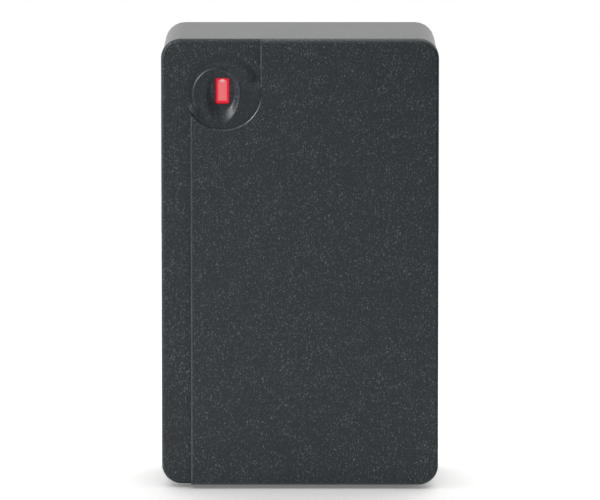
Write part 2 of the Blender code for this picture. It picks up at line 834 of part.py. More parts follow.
def make_antenna_coil():
    """The winding as one ring, in the former's channel."""
    half_w, half_h, centre = BOARD_HALF_W - FIT, BOARD_HALF_H - FIT, BOARD_CENTRE
    depth = (PARTS_BACK + FORMER_FLANGE + FIT, PARTS_BACK + FORMER_HEIGHT - FORMER_FLANGE - FIT)
    corner = FORMER_CORNER - FIT
    coil = slab("antenna_coil", half_w, half_h, corner, depth, COPPER, segments=4, centre=centre)
    winding = CHANNEL_DEPTH - 2 * FIT
    hole = slab(
        "coil_hole",
        half_w - winding,
        half_h - winding,
        corner - winding,
        (depth[0] - PAST, depth[1] + PAST),
        segments=4,
        centre=centre,
    )
    cut(coil, hole)


def make_led_emitter():
    half = LED_SIZE / 2
    box(
        "led_emitter",
        (LENS_X - half, LENS_X + half),
        (PARTS_BACK, PARTS_BACK + LED_TALL),
        (LENS_Z - half, LENS_Z + half),
        TIN,
        edge=CHIP_EDGE,
    )


def on_board(name, place, finish, edge=CHIP_EDGE):
    """A rectangular component that stands on the board."""
    x, z, size_x, size_z, tall = place
    box(
        name,
        (x - size_x / 2, x + size_x / 2),
        (PARTS_BACK, PARTS_BACK + tall),
        (z - size_z / 2, z + size_z / 2),
        finish,
        edge,
    )


def round_on_board(name, place, finish):
    """A round component in the left column."""
    z, diameter, tall = place
    disc(name, diameter / 2, (PARTS_BACK, PARTS_BACK + tall), -COLUMN_X, z, finish, sides=32)


def make_components():
    on_board("controller_chip", CONTROLLER_CHIP, BLACK_EPOXY)
    on_board("radio_chip", RADIO_CHIP, BLACK_EPOXY)
    on_board("voltage_regulator", VOLTAGE_REGULATOR, BLACK_EPOXY)
    on_board("crystal", CRYSTAL, TIN, CAN_EDGE)
    on_board("tuning_capacitor", TUNING_CAPACITOR, GREEN_NYLON)
    round_on_board("filter_capacitor", FILTER_CAPACITOR, TIN)
    round_on_board("bulk_capacitor", BULK_CAPACITOR, TIN)
    round_on_board("power_inductor", POWER_INDUCTOR, BLACK_EPOXY)


def make_sounder():
    front = PARTS_BACK + SOUNDER_TALL
    sounder = disc(
        "sounder", SOUNDER_DIAMETER / 2, (PARTS_BACK, front), COLUMN_X, SOUNDER_Z, BLACK_EPOXY, sides=40
    )
    hole_depth = (front - SOUND_HOLE_DEEP, front + PAST)
    hole = disc("sound_hole", SOUND_HOLE / 2, hole_depth, COLUMN_X, SOUNDER_Z, sides=16)
    cut(sounder, hole)


def clamp_places():
    return [(number, (number - (WAYS + 1) / 2) * PITCH) for number in range(1, WAYS + 1)]


def make_terminal_block():
    """A row of clamps: wires go in from above, screws turn from the front."""
    half = WAYS * PITCH / 2 + BLOCK_END
    front = PARTS_BACK + TERMINAL_TALL
    bottom = TERMINAL_TOP - TERMINAL_DEEP
    block = box("terminal_block", (-half, half), (PARTS_BACK, front), (bottom, TERMINAL_TOP), GREEN_NYLON)
    screw_z = bottom + TERMINAL_DEEP / 2
    wire_back = PARTS_BACK + WIRE_ENTRY_LIFT
    for number, x in clamp_places():
        well_back = front - CLAMP_SUNK - CLAMP_LENGTH - FIT
        well = disc(
            f"clamp_well_{number}", CLAMP_DIAMETER / 2 + FIT, (well_back, front + PAST), x, screw_z, sides=16
        )
        entry = box(
            f"wire_entry_{number}",
            (x - WIRE_ENTRY_WIDTH / 2, x + WIRE_ENTRY_WIDTH / 2),
            (wire_back, wire_back + WIRE_ENTRY_TALL),
            (screw_z - WIRE_PAST_SCREW, TERMINAL_TOP + PAST),
        )
        cut(block, well, entry)


def make_clamp_screws():
    front = PARTS_BACK + TERMINAL_TALL - CLAMP_SUNK
    screw_z = TERMINAL_TOP - TERMINAL_DEEP / 2
    for number, x in clamp_places():
        screw = disc(
            f"clamp_screw_{number}",
            CLAMP_DIAMETER / 2,
            (front - CLAMP_LENGTH, front),
            x,
            screw_z,
            STEEL,
            sides=16,
        )
        slot = box(
            f"clamp_slot_{number}",
            (x - CLAMP_DIAMETER, x + CLAMP_DIAMETER),
            (front - CLAMP_SLOT_DEEP, front + PAST),
            (screw_z - DRIVER_SLOT / 2, screw_z + DRIVER_SLOT / 2),
        )
        cut(screw, slot)


# --------------------------------------------------------------- tamper switch


def make_tamper_body():
    half = TAMPER_SIZE / 2
    front = PARTS_BACK + TAMPER_TALL
    body = box(
        "tamper_body",
        (COLUMN_X - half, COLUMN_X + half),
        (PARTS_BACK, front),
        (TAMPER_Z - half, TAMPER_Z + half),
        BLACK_EPOXY,
    )
    bore = disc(
        "tamper_bore", TAMPER_BORE / 2, (PARTS_BACK - PAST, front - TAMPER_ROOF), COLUMN_X, TAMPER_Z, sides=32
    )
    throat = disc(
        "tamper_throat",
        PLUNGER_DIAMETER / 2 + FIT,
        (PARTS_BACK, front + PAST),
        COLUMN_X,
        TAMPER_Z,
        sides=32,
    )
    cut(body, bore, throat)


def collar_limits():
    """Depths of the plunger's collar while the cover holds it in."""
    front = PARTS_BACK + TAMPER_TALL - TAMPER_ROOF - TAMPER_TRAVEL - FIT
    return front - COLLAR_THICK, front


def make_tamper_plunger():
    """Pressed in by the closed cover, which it follows outwards as far as its collar allows."""
    collar_back, collar_front = collar_limits()
    tip = COVER_BACK - FIT
    plunger = disc(
        "tamper_plunger",
        PLUNGER_DIAMETER / 2,
        (collar_back, tip),
        COLUMN_X,
        TAMPER_Z,
        NATURAL_NYLON,
        sides=32,
    )
    collar = disc(
        "plunger_collar",
        COLLAR_DIAMETER / 2,
        (collar_back, collar_front),
        COLUMN_X,
        TAMPER_Z,
        sides=32,
    )
    join(plunger, collar)
    set_origin(plunger, COLUMN_X, collar_front, TAMPER_Z)


def make_tamper_spring():
    """A short coil between the board and the plunger's collar."""
    start = PARTS_BACK + FIT + SPRING_WIRE / 2
    end = collar_limits()[0] - FIT - SPRING_WIRE / 2
    radius = COLLAR_DIAMETER / 2 - SPRING_WIRE
    steps = round(SPRING_TURNS * SPRING_STEPS)
    curve = bpy.data.curves.new("tamper_spring", "CURVE")
    curve.dimensions = "3D"
    curve.bevel_depth = SPRING_WIRE / 2
    curve.bevel_resolution = 2
    curve.use_fill_caps = True
    curve.materials.append(material(*STEEL))
    line = curve.splines.new("POLY")
    line.points.add(steps)
    for step, point in enumerate(line.points):
        angle = 2 * math.pi * step / SPRING_STEPS
        depth = start + (end - start) * step / steps
        point.co = (COLUMN_X + radius * math.cos(angle), -depth, TAMPER_Z + radius * math.sin(angle), 1)
    PARTS.objects.link(bpy.data.objects.new("tamper_spring", curve))


# ---------------------------------------------------------------- security screw


def screw_head_top():
    """Height of the head's upper face, in the recess of the housing's bottom wall."""
    return -housing_half(SCREW_DEPTH, BACK_H) + RECESS_DEPTH - FIT


def make_security_screw():
    top = screw_head_top()
    bottom = top - SCREW_HEAD_TALL
    screw = rod(
        "security_screw", SCREW_HEAD / 2, 0, SCREW_DEPTH, (bottom, top), STEEL, sides=32
    )
    shank = rod("screw_shank", SCREW_DIAMETER / 2, 0, SCREW_DEPTH, (top - FIT, top + SCREW_LENGTH), sides=24)
    join(screw, shank)
    socket_ends = (bottom - PAST, bottom + SOCKET_DEEP)
    socket = rod("screw_socket", SOCKET_RADIUS, 0, SCREW_DEPTH, socket_ends, sides=6)
    cut(screw, socket)
    set_origin(screw, 0, SCREW_DEPTH, top)


def make_captive_clip():
    """A ring on the screw's end, which stops against the tab when the screw has backed out."""
    bottom = TAB_BOTTOM + TAB_THICK + SCREW_TRAVEL + FIT
    clip = rod("captive_clip", CLIP_DIAMETER / 2, 0, SCREW_DEPTH, (bottom, bottom + CLIP_THICK), STEEL)
    hole = rod(
        "clip_hole",
        SCREW_DIAMETER / 2 + FIT,
        0,
        SCREW_DEPTH,
        (bottom - PAST, bottom + CLIP_THICK + PAST),
    )
    cut(clip, hole)
    set_origin(clip, 0, SCREW_DEPTH, bottom)


def make_thread_insert():
    low, high = TAB_BOTTOM, TAB_BOTTOM + TAB_THICK
    insert = rod("thread_insert", INSERT_DIAMETER / 2, 0, SCREW_DEPTH, (low, high), BRASS)
    bore = rod("insert_bore", SCREW_DIAMETER / 2 + FIT, 0, SCREW_DEPTH, (low - PAST, high + PAST))
    cut(insert, bore)


make_back_housing()
make_wall_gasket()
make_rating_plate()
make_circuit_board()
make_board_screws()
make_coil_former()
make_antenna_coil()
make_led_emitter()
make_components()
make_sounder()
make_terminal_block()
make_clamp_screws()
make_tamper_body()
make_tamper_plunger()
make_tamper_spring()
make_front_cover()
make_led_lens()
make_thread_insert()
make_captive_clip()
make_security_screw()
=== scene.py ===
import math

import bmesh
import bpy
from mathutils import Matrix, Vector


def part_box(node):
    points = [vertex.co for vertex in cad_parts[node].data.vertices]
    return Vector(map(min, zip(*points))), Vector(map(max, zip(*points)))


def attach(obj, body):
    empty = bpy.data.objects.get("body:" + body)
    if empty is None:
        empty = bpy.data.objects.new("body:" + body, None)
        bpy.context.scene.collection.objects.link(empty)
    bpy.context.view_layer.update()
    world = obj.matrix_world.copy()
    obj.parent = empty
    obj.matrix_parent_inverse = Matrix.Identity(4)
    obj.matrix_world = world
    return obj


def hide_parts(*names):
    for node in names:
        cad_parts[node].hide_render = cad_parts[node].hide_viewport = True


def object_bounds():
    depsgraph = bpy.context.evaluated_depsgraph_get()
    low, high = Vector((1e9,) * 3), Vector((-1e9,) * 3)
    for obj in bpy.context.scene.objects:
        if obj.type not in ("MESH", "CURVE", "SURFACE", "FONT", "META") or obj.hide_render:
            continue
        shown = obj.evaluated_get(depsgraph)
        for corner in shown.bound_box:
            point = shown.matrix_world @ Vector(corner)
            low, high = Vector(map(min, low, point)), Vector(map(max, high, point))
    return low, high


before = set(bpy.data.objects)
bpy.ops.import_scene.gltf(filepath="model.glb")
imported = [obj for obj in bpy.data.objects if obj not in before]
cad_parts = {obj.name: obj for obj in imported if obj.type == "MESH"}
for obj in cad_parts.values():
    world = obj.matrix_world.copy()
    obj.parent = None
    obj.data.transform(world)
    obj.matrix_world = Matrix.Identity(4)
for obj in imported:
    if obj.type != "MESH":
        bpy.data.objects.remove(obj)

cad_low, cad_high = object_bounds()

# ---- Studio
# A sheet of matt white paper to stand on, a white room that is darker on the viewer's side, and
# one small soft lamp close by at the left. The camera looks down a little, through a long lens.
MM = 0.001
CAMERA_DISTANCE = 3.4
CAMERA_ELEVATION = math.radians(14.5)
READER_SHARE = 0.4604  # of the picture's width
AIM_RAISE = 0.5 * MM
SENSOR_WIDTH = 36
CLIP_END = 20
FLOOR_RADIUS = 0.24
FLOOR_SIDES = 64
FLOOR_DROP = 1.0 * MM  # room for the security screw as it backs out
FRONT_GLOW, BACK_GLOW, OVERHEAD_GLOW = 0.06, 1.03, 1.5
LAMP_PLACE = (-0.42, -0.31, 0.24)
LAMP_SIZE = 0.14
LAMP_POWER = 4.4
middle = (cad_low + cad_high) / 2


def linear(code):
    """An sRGB hex colour as linear values, with alpha."""
    parts = [int(code[i : i + 2], 16) / 255 for i in (1, 3, 5)]
    return [p / 12.92 if p <= 0.04045 else ((p + 0.055) / 1.055) ** 2.4 for p in parts] + [1.0]


def grey(value):
    return [value, value, value, 1.0]


def add_node(tree, kind, inputs=None, stops=(), **settings):
    """One node. An input is a value, a socket, or a node whose first output is meant.
    A stop is a position on a colour ramp and its hex colour."""
    made = tree.nodes.new("ShaderNode" + kind)
    for key, value in settings.items():
        setattr(made, key, value)
    for key, value in (inputs or {}).items():
        if isinstance(value, bpy.types.Node):
            value = value.outputs[0]
        if isinstance(value, bpy.types.NodeSocket):
            tree.links.new(value, made.inputs[key])
        else:
            made.inputs[key].default_value = value
    for number, (position, colour) in enumerate(stops):
        elements = made.color_ramp.elements
        element = elements[number] if number < 2 else elements.new(position)
        element.position, element.color = position, linear(colour)
    return made


def start_material(name):
    """A new material, its nodes, and object coordinates in millimetres."""
    made = bpy.data.materials.new(name)
    made.use_nodes = True
    tree = made.node_tree
    tree.nodes.clear()
    place = add_node(tree, "TexCoord").outputs["Object"]
    return made, tree, add_node(tree, "Mapping", {"Vector": place, "Scale": (1 / MM, 1 / MM, 1 / MM)})


def end_material(tree, tint, gloss, relief=None, others=None):
    """The shader that a material ends in. Others are what else its sockets are given."""
    inputs = {"Base Color": tint, "Roughness": gloss, **(others or {})}
    if relief is not None:
        inputs["Normal"] = relief
    add_node(tree, "OutputMaterial", {"Surface": add_node(tree, "BsdfPrincipled", inputs)})


def make_object(name, bm, *finishes, smooth=35):
    """A mesh object at the origin, smooth except at edges sharper than smooth degrees."""
    mesh = bpy.data.meshes.new(name)
    bm.to_mesh(mesh)
    bm.free()
    mesh.shade_smooth()
    mesh.set_sharp_from_angle(angle=math.radians(smooth))
    for finish in finishes:
        mesh.materials.append(finish)
    made = bpy.data.objects.new(name, mesh)
    bpy.context.scene.collection.objects.link(made)
    return made


# White paper, matt, on a light table: a faint mottle keeps it from looking like a painted wall.
floor_paper, tree, place = start_material("matt_white_paper")
mottle = add_node(tree, "TexNoise", {"Vector": place, "Scale": 1 / 60, "Detail": 3})
tint = add_node(tree, "ValToRGB", {"Fac": mottle}, [(0.3, "#f8f8f7"), (0.7, "#fcfcfb")])
glow = {"Emission Color": grey(1.0), "Emission Strength": 0.16}
end_material(tree, tint, 0.9, others={"Specular IOR Level": 0.1, **glow})
bm = bmesh.new()
bmesh.ops.create_circle(bm, cap_ends=True, segments=FLOOR_SIDES, radius=FLOOR_RADIUS)
bmesh.ops.translate(bm, vec=(0, 0, cad_low.z - FLOOR_DROP), verts=bm.verts)
floor = make_object("studio_floor", bm, floor_paper)

world = bpy.data.worlds.new("white_room")
world.use_nodes = True
bpy.context.scene.world = world
tree = world.node_tree
tree.nodes.clear()
way = add_node(tree, "SeparateXYZ", {"Vector": add_node(tree, "TexCoord").outputs["Generated"]})
span = {"From Min": -0.3, "From Max": 0.3, "To Min": FRONT_GLOW, "To Max": BACK_GLOW}
level = add_node(tree, "MapRange", {"Value": way.outputs["Y"], **span})
span = {"From Min": 0.5, "From Max": 1.0, "To Min": 0, "To Max": OVERHEAD_GLOW}
upward = add_node(tree, "MapRange", {"Value": way.outputs["Z"], **span})
glow = add_node(tree, "Math", {0: level, 1: upward}, operation="ADD")
seen = add_node(tree, "LightPath").outputs["Is Camera Ray"]
strength = add_node(tree, "Mix", {"Factor": seen, "A": glow, "B": 1.0})
backdrop = add_node(tree, "Background", {"Color": grey(1.0), "Strength": strength})
add_node(tree, "OutputWorld", {"Surface": backdrop})

lamp_data = bpy.data.lights.new("soft_lamp", "AREA")
lamp_data.size = LAMP_SIZE
lamp_data.energy = LAMP_POWER
lamp = bpy.data.objects.new("soft_lamp", lamp_data)
bpy.context.scene.collection.objects.link(lamp)
lamp.location = LAMP_PLACE
lamp.rotation_euler = (middle - Vector(LAMP_PLACE)).to_track_quat("-Z", "Y").to_euler()
# The room alone lights the floor, so the lamp throws no shadow there.
unlit = bpy.data.collections.new("not_lit_by_lamp")
unlit.objects.link(floor)
lamp.light_linking.receiver_collection = unlit
unlit.collection_objects[0].light_linking.link_state = "EXCLUDE"

camera_data = bpy.data.cameras.new("camera")
camera_data.sensor_width = SENSOR_WIDTH
camera_data.lens = READER_SHARE * SENSOR_WIDTH * CAMERA_DISTANCE / (cad_high.x - cad_low.x)
camera_data.clip_end = CLIP_END
camera = bpy.data.objects.new("camera", camera_data)
bpy.context.scene.collection.objects.link(camera)
aim = Vector((0, middle.y, middle.z + AIM_RAISE))
back_off = Vector((0, -math.cos(CAMERA_ELEVATION), math.sin(CAMERA_ELEVATION)))
camera.location = aim + CAMERA_DISTANCE * back_off
camera.rotation_euler = (aim - camera.location).to_track_quat("-Z", "Y").to_euler()
bpy.context.scene.camera = camera
bpy.context.scene.view_settings.view_transform = "Standard"

# ---- Front cover
# One moulding in charcoal ABS, with a spark-eroded, leathery face. The main panel stands proud of
# a strip down the left side, and steps round a circular eye near the top.
COVER_LOW, COVER_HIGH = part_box("front_cover")
PANEL_Y = COVER_LOW.y
STRIP_Y = PANEL_Y + 1.4 * MM
FLANGE_Y = STRIP_Y + 0.9 * MM
STRIP_WIDTH = 7.4 * MM
CORNER = 5 * MM
CORNER_STEPS = 14
FACE_ROUND = 0.8 * MM
STEP_ROUND = 0.4 * MM
STEP_PAST_EYE = 0.15 * MM
EYE_RADIUS = 9.6 * MM
EYE_GAP = 0.03 * MM
EYE = Vector((COVER_LOW.x + 15.6 * MM, STRIP_Y, COVER_HIGH.z - 13.5 * MM))
PAST = 3 * MM  # how far a cutting shape runs beyond what it cuts
GRAIN_SIZE = 0.36  # a real eroded grain is nearer 0.1 mm: this one is drawn coarser, so that it shows
GRAIN_SLANT = math.radians(35)
GRAIN_SHIFT = 0.17  # which slice of the noise the flat faces show

# ABS with an eroded grain: even and dark in its hollows. Its tops are painted as fine pale flecks,
# partly a painted highlight, partly real gloss and bump that catch the lamp; the flecks gather in
# loose patches and run a little along one slant.
grained_abs, tree, place = start_material("abs_spark_eroded")
slanted = {"Location": (0, GRAIN_SHIFT, 0), "Rotation": (0, GRAIN_SLANT, 0), "Scale": (1.25, 1.0, 0.8)}
slant = add_node(tree, "Mapping", {"Vector": place, **slanted})
lumps = add_node(
    tree, "TexNoise", {"Vector": slant, "Scale": 1 / GRAIN_SIZE, "Detail": 2, "Roughness": 0.65}
)
patches = add_node(tree, "TexNoise", {"Vector": place, "Scale": 1 / 5, "Detail": 3, "Roughness": 0.6})
span = {"From Min": 0.3, "From Max": 0.7, "To Min": -0.035, "To Max": 0.02}
shade = add_node(tree, "MapRange", {"Value": patches, **span})
grain = add_node(tree, "Math", {0: lumps, 1: shade}, operation="ADD")
# The palest stops paint highlights on the tops of the grain.
flecks = [(0.50, "#1b2023"), (0.56, "#1e2326"), (0.65, "#40464a"), (0.77, "#727578")]
tint = add_node(tree, "ValToRGB", {"Fac": grain}, flecks)
span = {"From Min": 0.5, "From Max": 0.7, "To Min": 0.6, "To Max": 0.36}
gloss = add_node(tree, "MapRange", {"Value": grain, **span})
relief = add_node(tree, "Bump", {"Height": grain, "Strength": 0.75, "Distance": 0.2 * MM})
end_material(tree, tint, gloss, relief, {"Specular IOR Level": 0.35})

# The same ABS on the small rounds of the steps, where the tool is stoned smooth, so they are
# glossier. They are also painted paler, a painted highlight: a fine pale line, broken by noise,
# where they turn towards the light.
edge_abs_painted_highlight, tree, place = start_material("abs_edge_stoned_painted_highlight")
# Noise that breaks the painted highlight line and varies its gloss.
scuff_and_highlight_breaks = add_node(tree, "TexNoise", {"Vector": place, "Scale": 1 / 0.4, "Detail": 2})
tint = add_node(tree, "ValToRGB", {"Fac": scuff_and_highlight_breaks}, [(0.42, "#25292c"), (0.64, "#3d4346")])
gloss = add_node(tree, "MapRange", {"Value": scuff_and_highlight_breaks, "To Min": 0.26, "To Max": 0.46})
end_material(tree, tint, gloss, others={"Specular IOR Level": 0.5})

# The same ABS from a polished part of the mould: smooth and satin, with only a faint flow mark.
satin_abs, tree, place = start_material("abs_satin_moulded")
flow = add_node(tree, "TexNoise", {"Vector": place, "Scale": 1 / 7, "Detail": 2})
tint = add_node(tree, "ValToRGB", {"Fac": flow}, [(0.3, "#2c2e2e"), (0.7, "#343635")])
fine = add_node(tree, "TexNoise", {"Vector": place, "Scale": 1 / 0.3, "Detail": 2})
gloss = add_node(tree, "MapRange", {"Value": fine, "To Min": 0.24, "To Max": 0.36})
relief = add_node(tree, "Bump", {"Height": fine, "Strength": 0.25, "Distance": 0.05 * MM})
end_material(tree, tint, gloss, relief, {"Specular IOR Level": 0.5})


def box_mesh(low, high):
    bm = bmesh.new()
    low, high = Vector(low), Vector(high)
    bmesh.ops.create_cube(bm, size=1)
    bmesh.ops.scale(bm, vec=high - low, verts=bm.verts)
    bmesh.ops.translate(bm, vec=(high + low) / 2, verts=bm.verts)
    return bm


def whole(bm):
    return bm.verts[:] + bm.edges[:] + bm.faces[:]


def round_edges(bm, edges, size, steps=3, clamp=False):
    how = {"segments": steps, "profile": 0.5, "affect": "EDGES", "material": -1, "clamp_overlap": clamp}
    bmesh.ops.bevel(bm, geom=edges, offset=size, **how)


def plate_mesh(low, high, corner, front_round=0.0, steps=CORNER_STEPS):
    """A box whose edges along Y are rounded by corner, and its front edge by front_round."""
    bm = box_mesh(low, high)
    standing = [e for e in bm.edges if abs(e.verts[0].co.y - e.verts[1].co.y) > 1e-6]
    round_edges(bm, standing, corner, steps)
    if front_round:
        rim = [e for e in bm.edges if all(abs(v.co.y - low[1]) < 1e-7 for v in e.verts)]
        round_edges(bm, rim, front_round, 5)
    return bm


def disc_mesh(radius, front, back, x, z, steps=96):
    """A cylinder along Y."""
    bm = bmesh.new()
    bmesh.ops.create_cone(
        bm, cap_ends=True, segments=steps, radius1=radius, radius2=radius, depth=back - front
    )
    bmesh.ops.rotate(bm, matrix=Matrix.Rotation(math.pi / 2, 3, "X"), verts=bm.verts)
    bmesh.ops.translate(bm, vec=(x, (front + back) / 2, z), verts=bm.verts)
    return bm


def combine(base, bm, operation):
    """Applies one exact Boolean to an object, with a shape that is then removed."""
    other = make_object("cutting_shape", bm)
    step = base.modifiers.new(operation, "BOOLEAN")
    step.operation, step.solver, step.object = operation, "EXACT", other
    graph = bpy.context.evaluated_depsgraph_get()
    base.data = bpy.data.meshes.new_from_object(base.evaluated_get(graph))
    base.modifiers.clear()
    bpy.data.objects.remove(other, do_unlink=True)


def sharpen(piece, smooth=35):
    """Smooth but for its sharp edges, with the large flat faces kept flat beside their rounds."""
    piece.data.shade_smooth()
    piece.data.set_sharp_from_angle(angle=math.radians(smooth))
    piece.modifiers.new("flat_faces", "WEIGHTED_NORMAL").keep_sharp = True


def show(name, bm, finish, *nodes, body="housing", slot=None, smooth=35):
    """A finished piece: its object, the body it rides on and the CAD nodes it stands for."""
    piece = make_object(name, bm, finish, smooth=smooth)
    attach(piece, body)
    if nodes:
        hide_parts(*nodes)
    return piece


step_x = COVER_LOW.x + STRIP_WIDTH
upper_step_x = EYE.x + EYE_RADIUS - STEP_PAST_EYE
above = COVER_HIGH.z + PAST
right_side = box_mesh((step_x, PANEL_Y, COVER_LOW.z - PAST), (COVER_HIGH.x + PAST, FLANGE_Y, above))
region = make_object("panel_region", right_side)
before, behind = PANEL_Y - PAST, FLANGE_Y + PAST
corner_block = box_mesh((step_x - PAST, before, EYE.z), (upper_step_x, behind, above + PAST))
combine(region, corner_block, "DIFFERENCE")
combine(region, disc_mesh(EYE_RADIUS, before, behind, EYE.x, EYE.z, 128), "DIFFERENCE")
bm = bmesh.new()
bm.from_mesh(region.data)
bpy.data.objects.remove(region, do_unlink=True)
bmesh.ops.remove_doubles(bm, verts=bm.verts, dist=1e-6)
step_edge = [
    e
    for e in bm.edges
    if all(abs(v.co.y - PANEL_Y) < 1e-6 for v in e.verts)
    and e.calc_face_angle(0) > 1
    and min(v.co.x for v in e.verts) < upper_step_x + 1e-5
    and not all(abs(v.co.z) > COVER_HIGH.z + MM for v in e.verts)
]
round_edges(bm, step_edge, STEP_ROUND, 4)

far_corner = (COVER_HIGH.x, FLANGE_Y, COVER_HIGH.z)
full = plate_mesh((COVER_LOW.x, STRIP_Y, COVER_LOW.z), far_corner, CORNER, FACE_ROUND)
shell = show("cover_shell", full, grained_abs, "front_cover", body="cover", slot="cover_plastic")
full = plate_mesh(COVER_LOW, far_corner, CORNER, FACE_ROUND)
panel = make_object("panel", full)
combine(panel, bm, "INTERSECT")
bm = bmesh.new()
bm.from_mesh(panel.data)
bpy.data.objects.remove(panel, do_unlink=True)
combine(shell, bm, "UNION")
combine(shell, disc_mesh(EYE_RADIUS - EYE_GAP, STRIP_Y - PAST, behind, EYE.x, EYE.z, 160), "DIFFERENCE")
# The step rounds that turn towards the lamp take the paler copy, a painted highlight; those left of the
# eye, which turn from the light, and the outer rim keep the grained ABS.
shell.data.materials.append(edge_abs_painted_highlight)
INSET = 1.2 * MM  # keeps the outer rim's own round out of the choice
SHADED_LEFT = 3 * MM  # further left than this, the eye's edge turns from the light
for face in shell.data.polygons:
    spot = face.center
    on_round = PANEL_Y + 0.01 * MM < spot.y < PANEL_Y + STEP_ROUND and -0.98 < face.normal.y < -0.05
    inside_rim = COVER_LOW.x + INSET < spot.x < COVER_HIGH.x - INSET and spot.z < COVER_HIGH.z - INSET
    by_eye = math.hypot(spot.x - EYE.x, spot.z - EYE.z) < EYE_RADIUS + STEP_ROUND
    shaded = by_eye and spot.x < EYE.x - SHADED_LEFT
    face.material_index = int(on_round and inside_rim and not shaded)
sharpen(shell, 40)

# ---- Inside of the front cover
# The thicker middle behind the face, with its ribs, hooks and screw tab, in smooth ABS as it
# leaves the mould.
INSIDE_FRONT = FLANGE_Y - 0.02 * MM


def refined(node, edge=0.12 * MM, sharp=40):
    """A merged copy of a CAD node, with its flat faces whole and its sharp edges rounded."""
    bm = bmesh.new()
    bm.from_mesh(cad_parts[node].data)
    bmesh.ops.remove_doubles(bm, verts=bm.verts, dist=1e-6)
    bmesh.ops.dissolve_limit(bm, angle_limit=math.radians(1), verts=bm.verts, edges=bm.edges)
    if edge:
        ridges = [e for e in bm.edges if e.is_manifold and e.calc_face_angle(0) > math.radians(sharp)]
        round_edges(bm, ridges, edge, 2, clamp=True)
    return bm


def show_refined(name, node, edge, finish, **rest):
    """Shows one CAD node as a piece, with its sharp edges rounded."""
    return show(name, refined(node, edge), finish, node, **rest)


bm = refined("front_cover", edge=0)
cut = {"plane_co": (0, INSIDE_FRONT, 0), "plane_no": (0, -1, 0), "clear_outer": True}
bmesh.ops.bisect_plane(bm, geom=whole(bm), **cut)
bmesh.ops.holes_fill(bm, edges=[e for e in bm.edges if e.is_boundary])
show("cover_inside", bm, satin_abs, body="cover", slot="cover_plastic")

# ---- Sculpted eye
# A dished island round the indicator window. On its left a soft groove parts it from the strip;
# on its right the panel's lobe rises beside it, so that the dish has a tall inner wall there.
RING_STEP = 0.12 * MM
EYE_SPOKES = 180
ISLAND_LEFT, ISLAND_BELOW, ISLAND_WIDE, ISLAND_TALL = 1.5, 0.7, 6.05, 6.6
SOCKET_WIDE, SOCKET_TALL = 9.4, 8.1
GROOVE_DEEP = 0.26
WELL_WIDE, WELL_TALL, WELL_DEEP = 4.3, 6.9, 0.38
CREST_HEIGHT, LOBE_EDGE_HEIGHT = 0.9, 1.0
WINDOW_LOW, WINDOW_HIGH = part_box("led_lens")
WINDOW_HALF = (1.7 * MM, 3.3 * MM)
WINDOW_CORNER = 0.4 * MM
WINDOW_GAP = 0.08 * MM
window = (WINDOW_LOW + WINDOW_HIGH) / 2

# ABS from a polished tool: even and dark, with a few faint pale flecks painted on its grain as
# highlights, and soft lights from the lamp on its rims.
eye_abs, tree, place = start_material("abs_polished")
lumps = add_node(tree, "TexNoise", {"Vector": place, "Scale": 1 / 0.5, "Detail": 2.5, "Roughness": 0.6})
flecks = [(0.45, "#212528"), (0.6, "#262b2e"), (0.72, "#43494c")]
tint = add_node(tree, "ValToRGB", {"Fac": lumps}, flecks)
relief = add_node(tree, "Bump", {"Height": lumps, "Strength": 0.8, "Distance": 0.12 * MM})
end_material(tree, tint, 0.44, relief, {"Specular IOR Level": 0.32})


def soft(value, start, end):
    """Goes smoothly from 0 at start to 1 at end. The start may be the larger one."""
    part = min(max((value - start) / (end - start), 0), 1)
    return part * part * (3 - 2 * part)


def eye_height(x, z):
    """Height in millimetres above the strip, at a place relative to the eye's centre."""
    well = math.hypot(x / WELL_WIDE, (z + 0.3) / WELL_TALL)
    island = math.hypot((x + ISLAND_LEFT) / ISLAND_WIDE, (z + ISLAND_BELOW) / ISLAND_TALL)
    socket = math.hypot(x / SOCKET_WIDE, z / SOCKET_TALL)
    groove = -GROOVE_DEEP * (1 - soft(socket, 0.78, 1.0))
    left = groove * soft(island, 0.98, 1.05)
    left += (-WELL_DEEP - left) * (1 - soft(well, 0.72, 1.0))
    radius = math.hypot(x, z) * MM / EYE_RADIUS
    turn = math.degrees(math.atan2(z, x))
    panel_side = soft(turn, -162, -142) * soft(turn, 24, 4)  # elsewhere the rim meets the strip
    lobe = CREST_HEIGHT + (LOBE_EDGE_HEIGHT - CREST_HEIGHT) * soft(radius, 0.5, 1.0)
    below = soft(-math.degrees(math.atan2(z, x)), 45, 100)  # the wall widens towards the bottom
    right = -WELL_DEEP + (lobe + WELL_DEEP) * soft(well, 0.64 - 0.12 * below, 1.0 + 0.2 * below)
    share = soft(turn, 90, -25) if turn > -30 else soft(turn, -178, -95)
    dished = left + (right - left) * share
    return dished + (LOBE_EDGE_HEIGHT * panel_side - dished) * soft(radius, 0.72, 1.0)


bm = bmesh.new()
rings = round(EYE_RADIUS / RING_STEP)
reach = EYE_RADIUS - EYE_GAP
spoke = [bm.verts.new((EYE.x + reach * i / rings, STRIP_Y, EYE.z)) for i in range(rings + 1)]
line = [bm.edges.new(pair) for pair in zip(spoke, spoke[1:])]
bmesh.ops.spin(
    bm, geom=spoke + line, cent=EYE, axis=(0, 1, 0), angle=2 * math.pi, steps=EYE_SPOKES, use_merge=True
)
bmesh.ops.remove_doubles(bm, verts=bm.verts, dist=1e-6)
for vertex in bm.verts:
    vertex.co.y = STRIP_Y - MM * eye_height((vertex.co.x - EYE.x) / MM, (vertex.co.z - EYE.z) / MM)
skirt = bmesh.ops.extrude_edge_only(bm, edges=[e for e in bm.edges if e.is_boundary])
for vertex in (v for v in skirt["geom"] if isinstance(v, bmesh.types.BMVert)):
    vertex.co.y = INSIDE_FRONT + 0.1 * MM
bmesh.ops.holes_fill(bm, edges=[e for e in bm.edges if e.is_boundary])
bmesh.ops.recalc_face_normals(bm, faces=bm.faces)
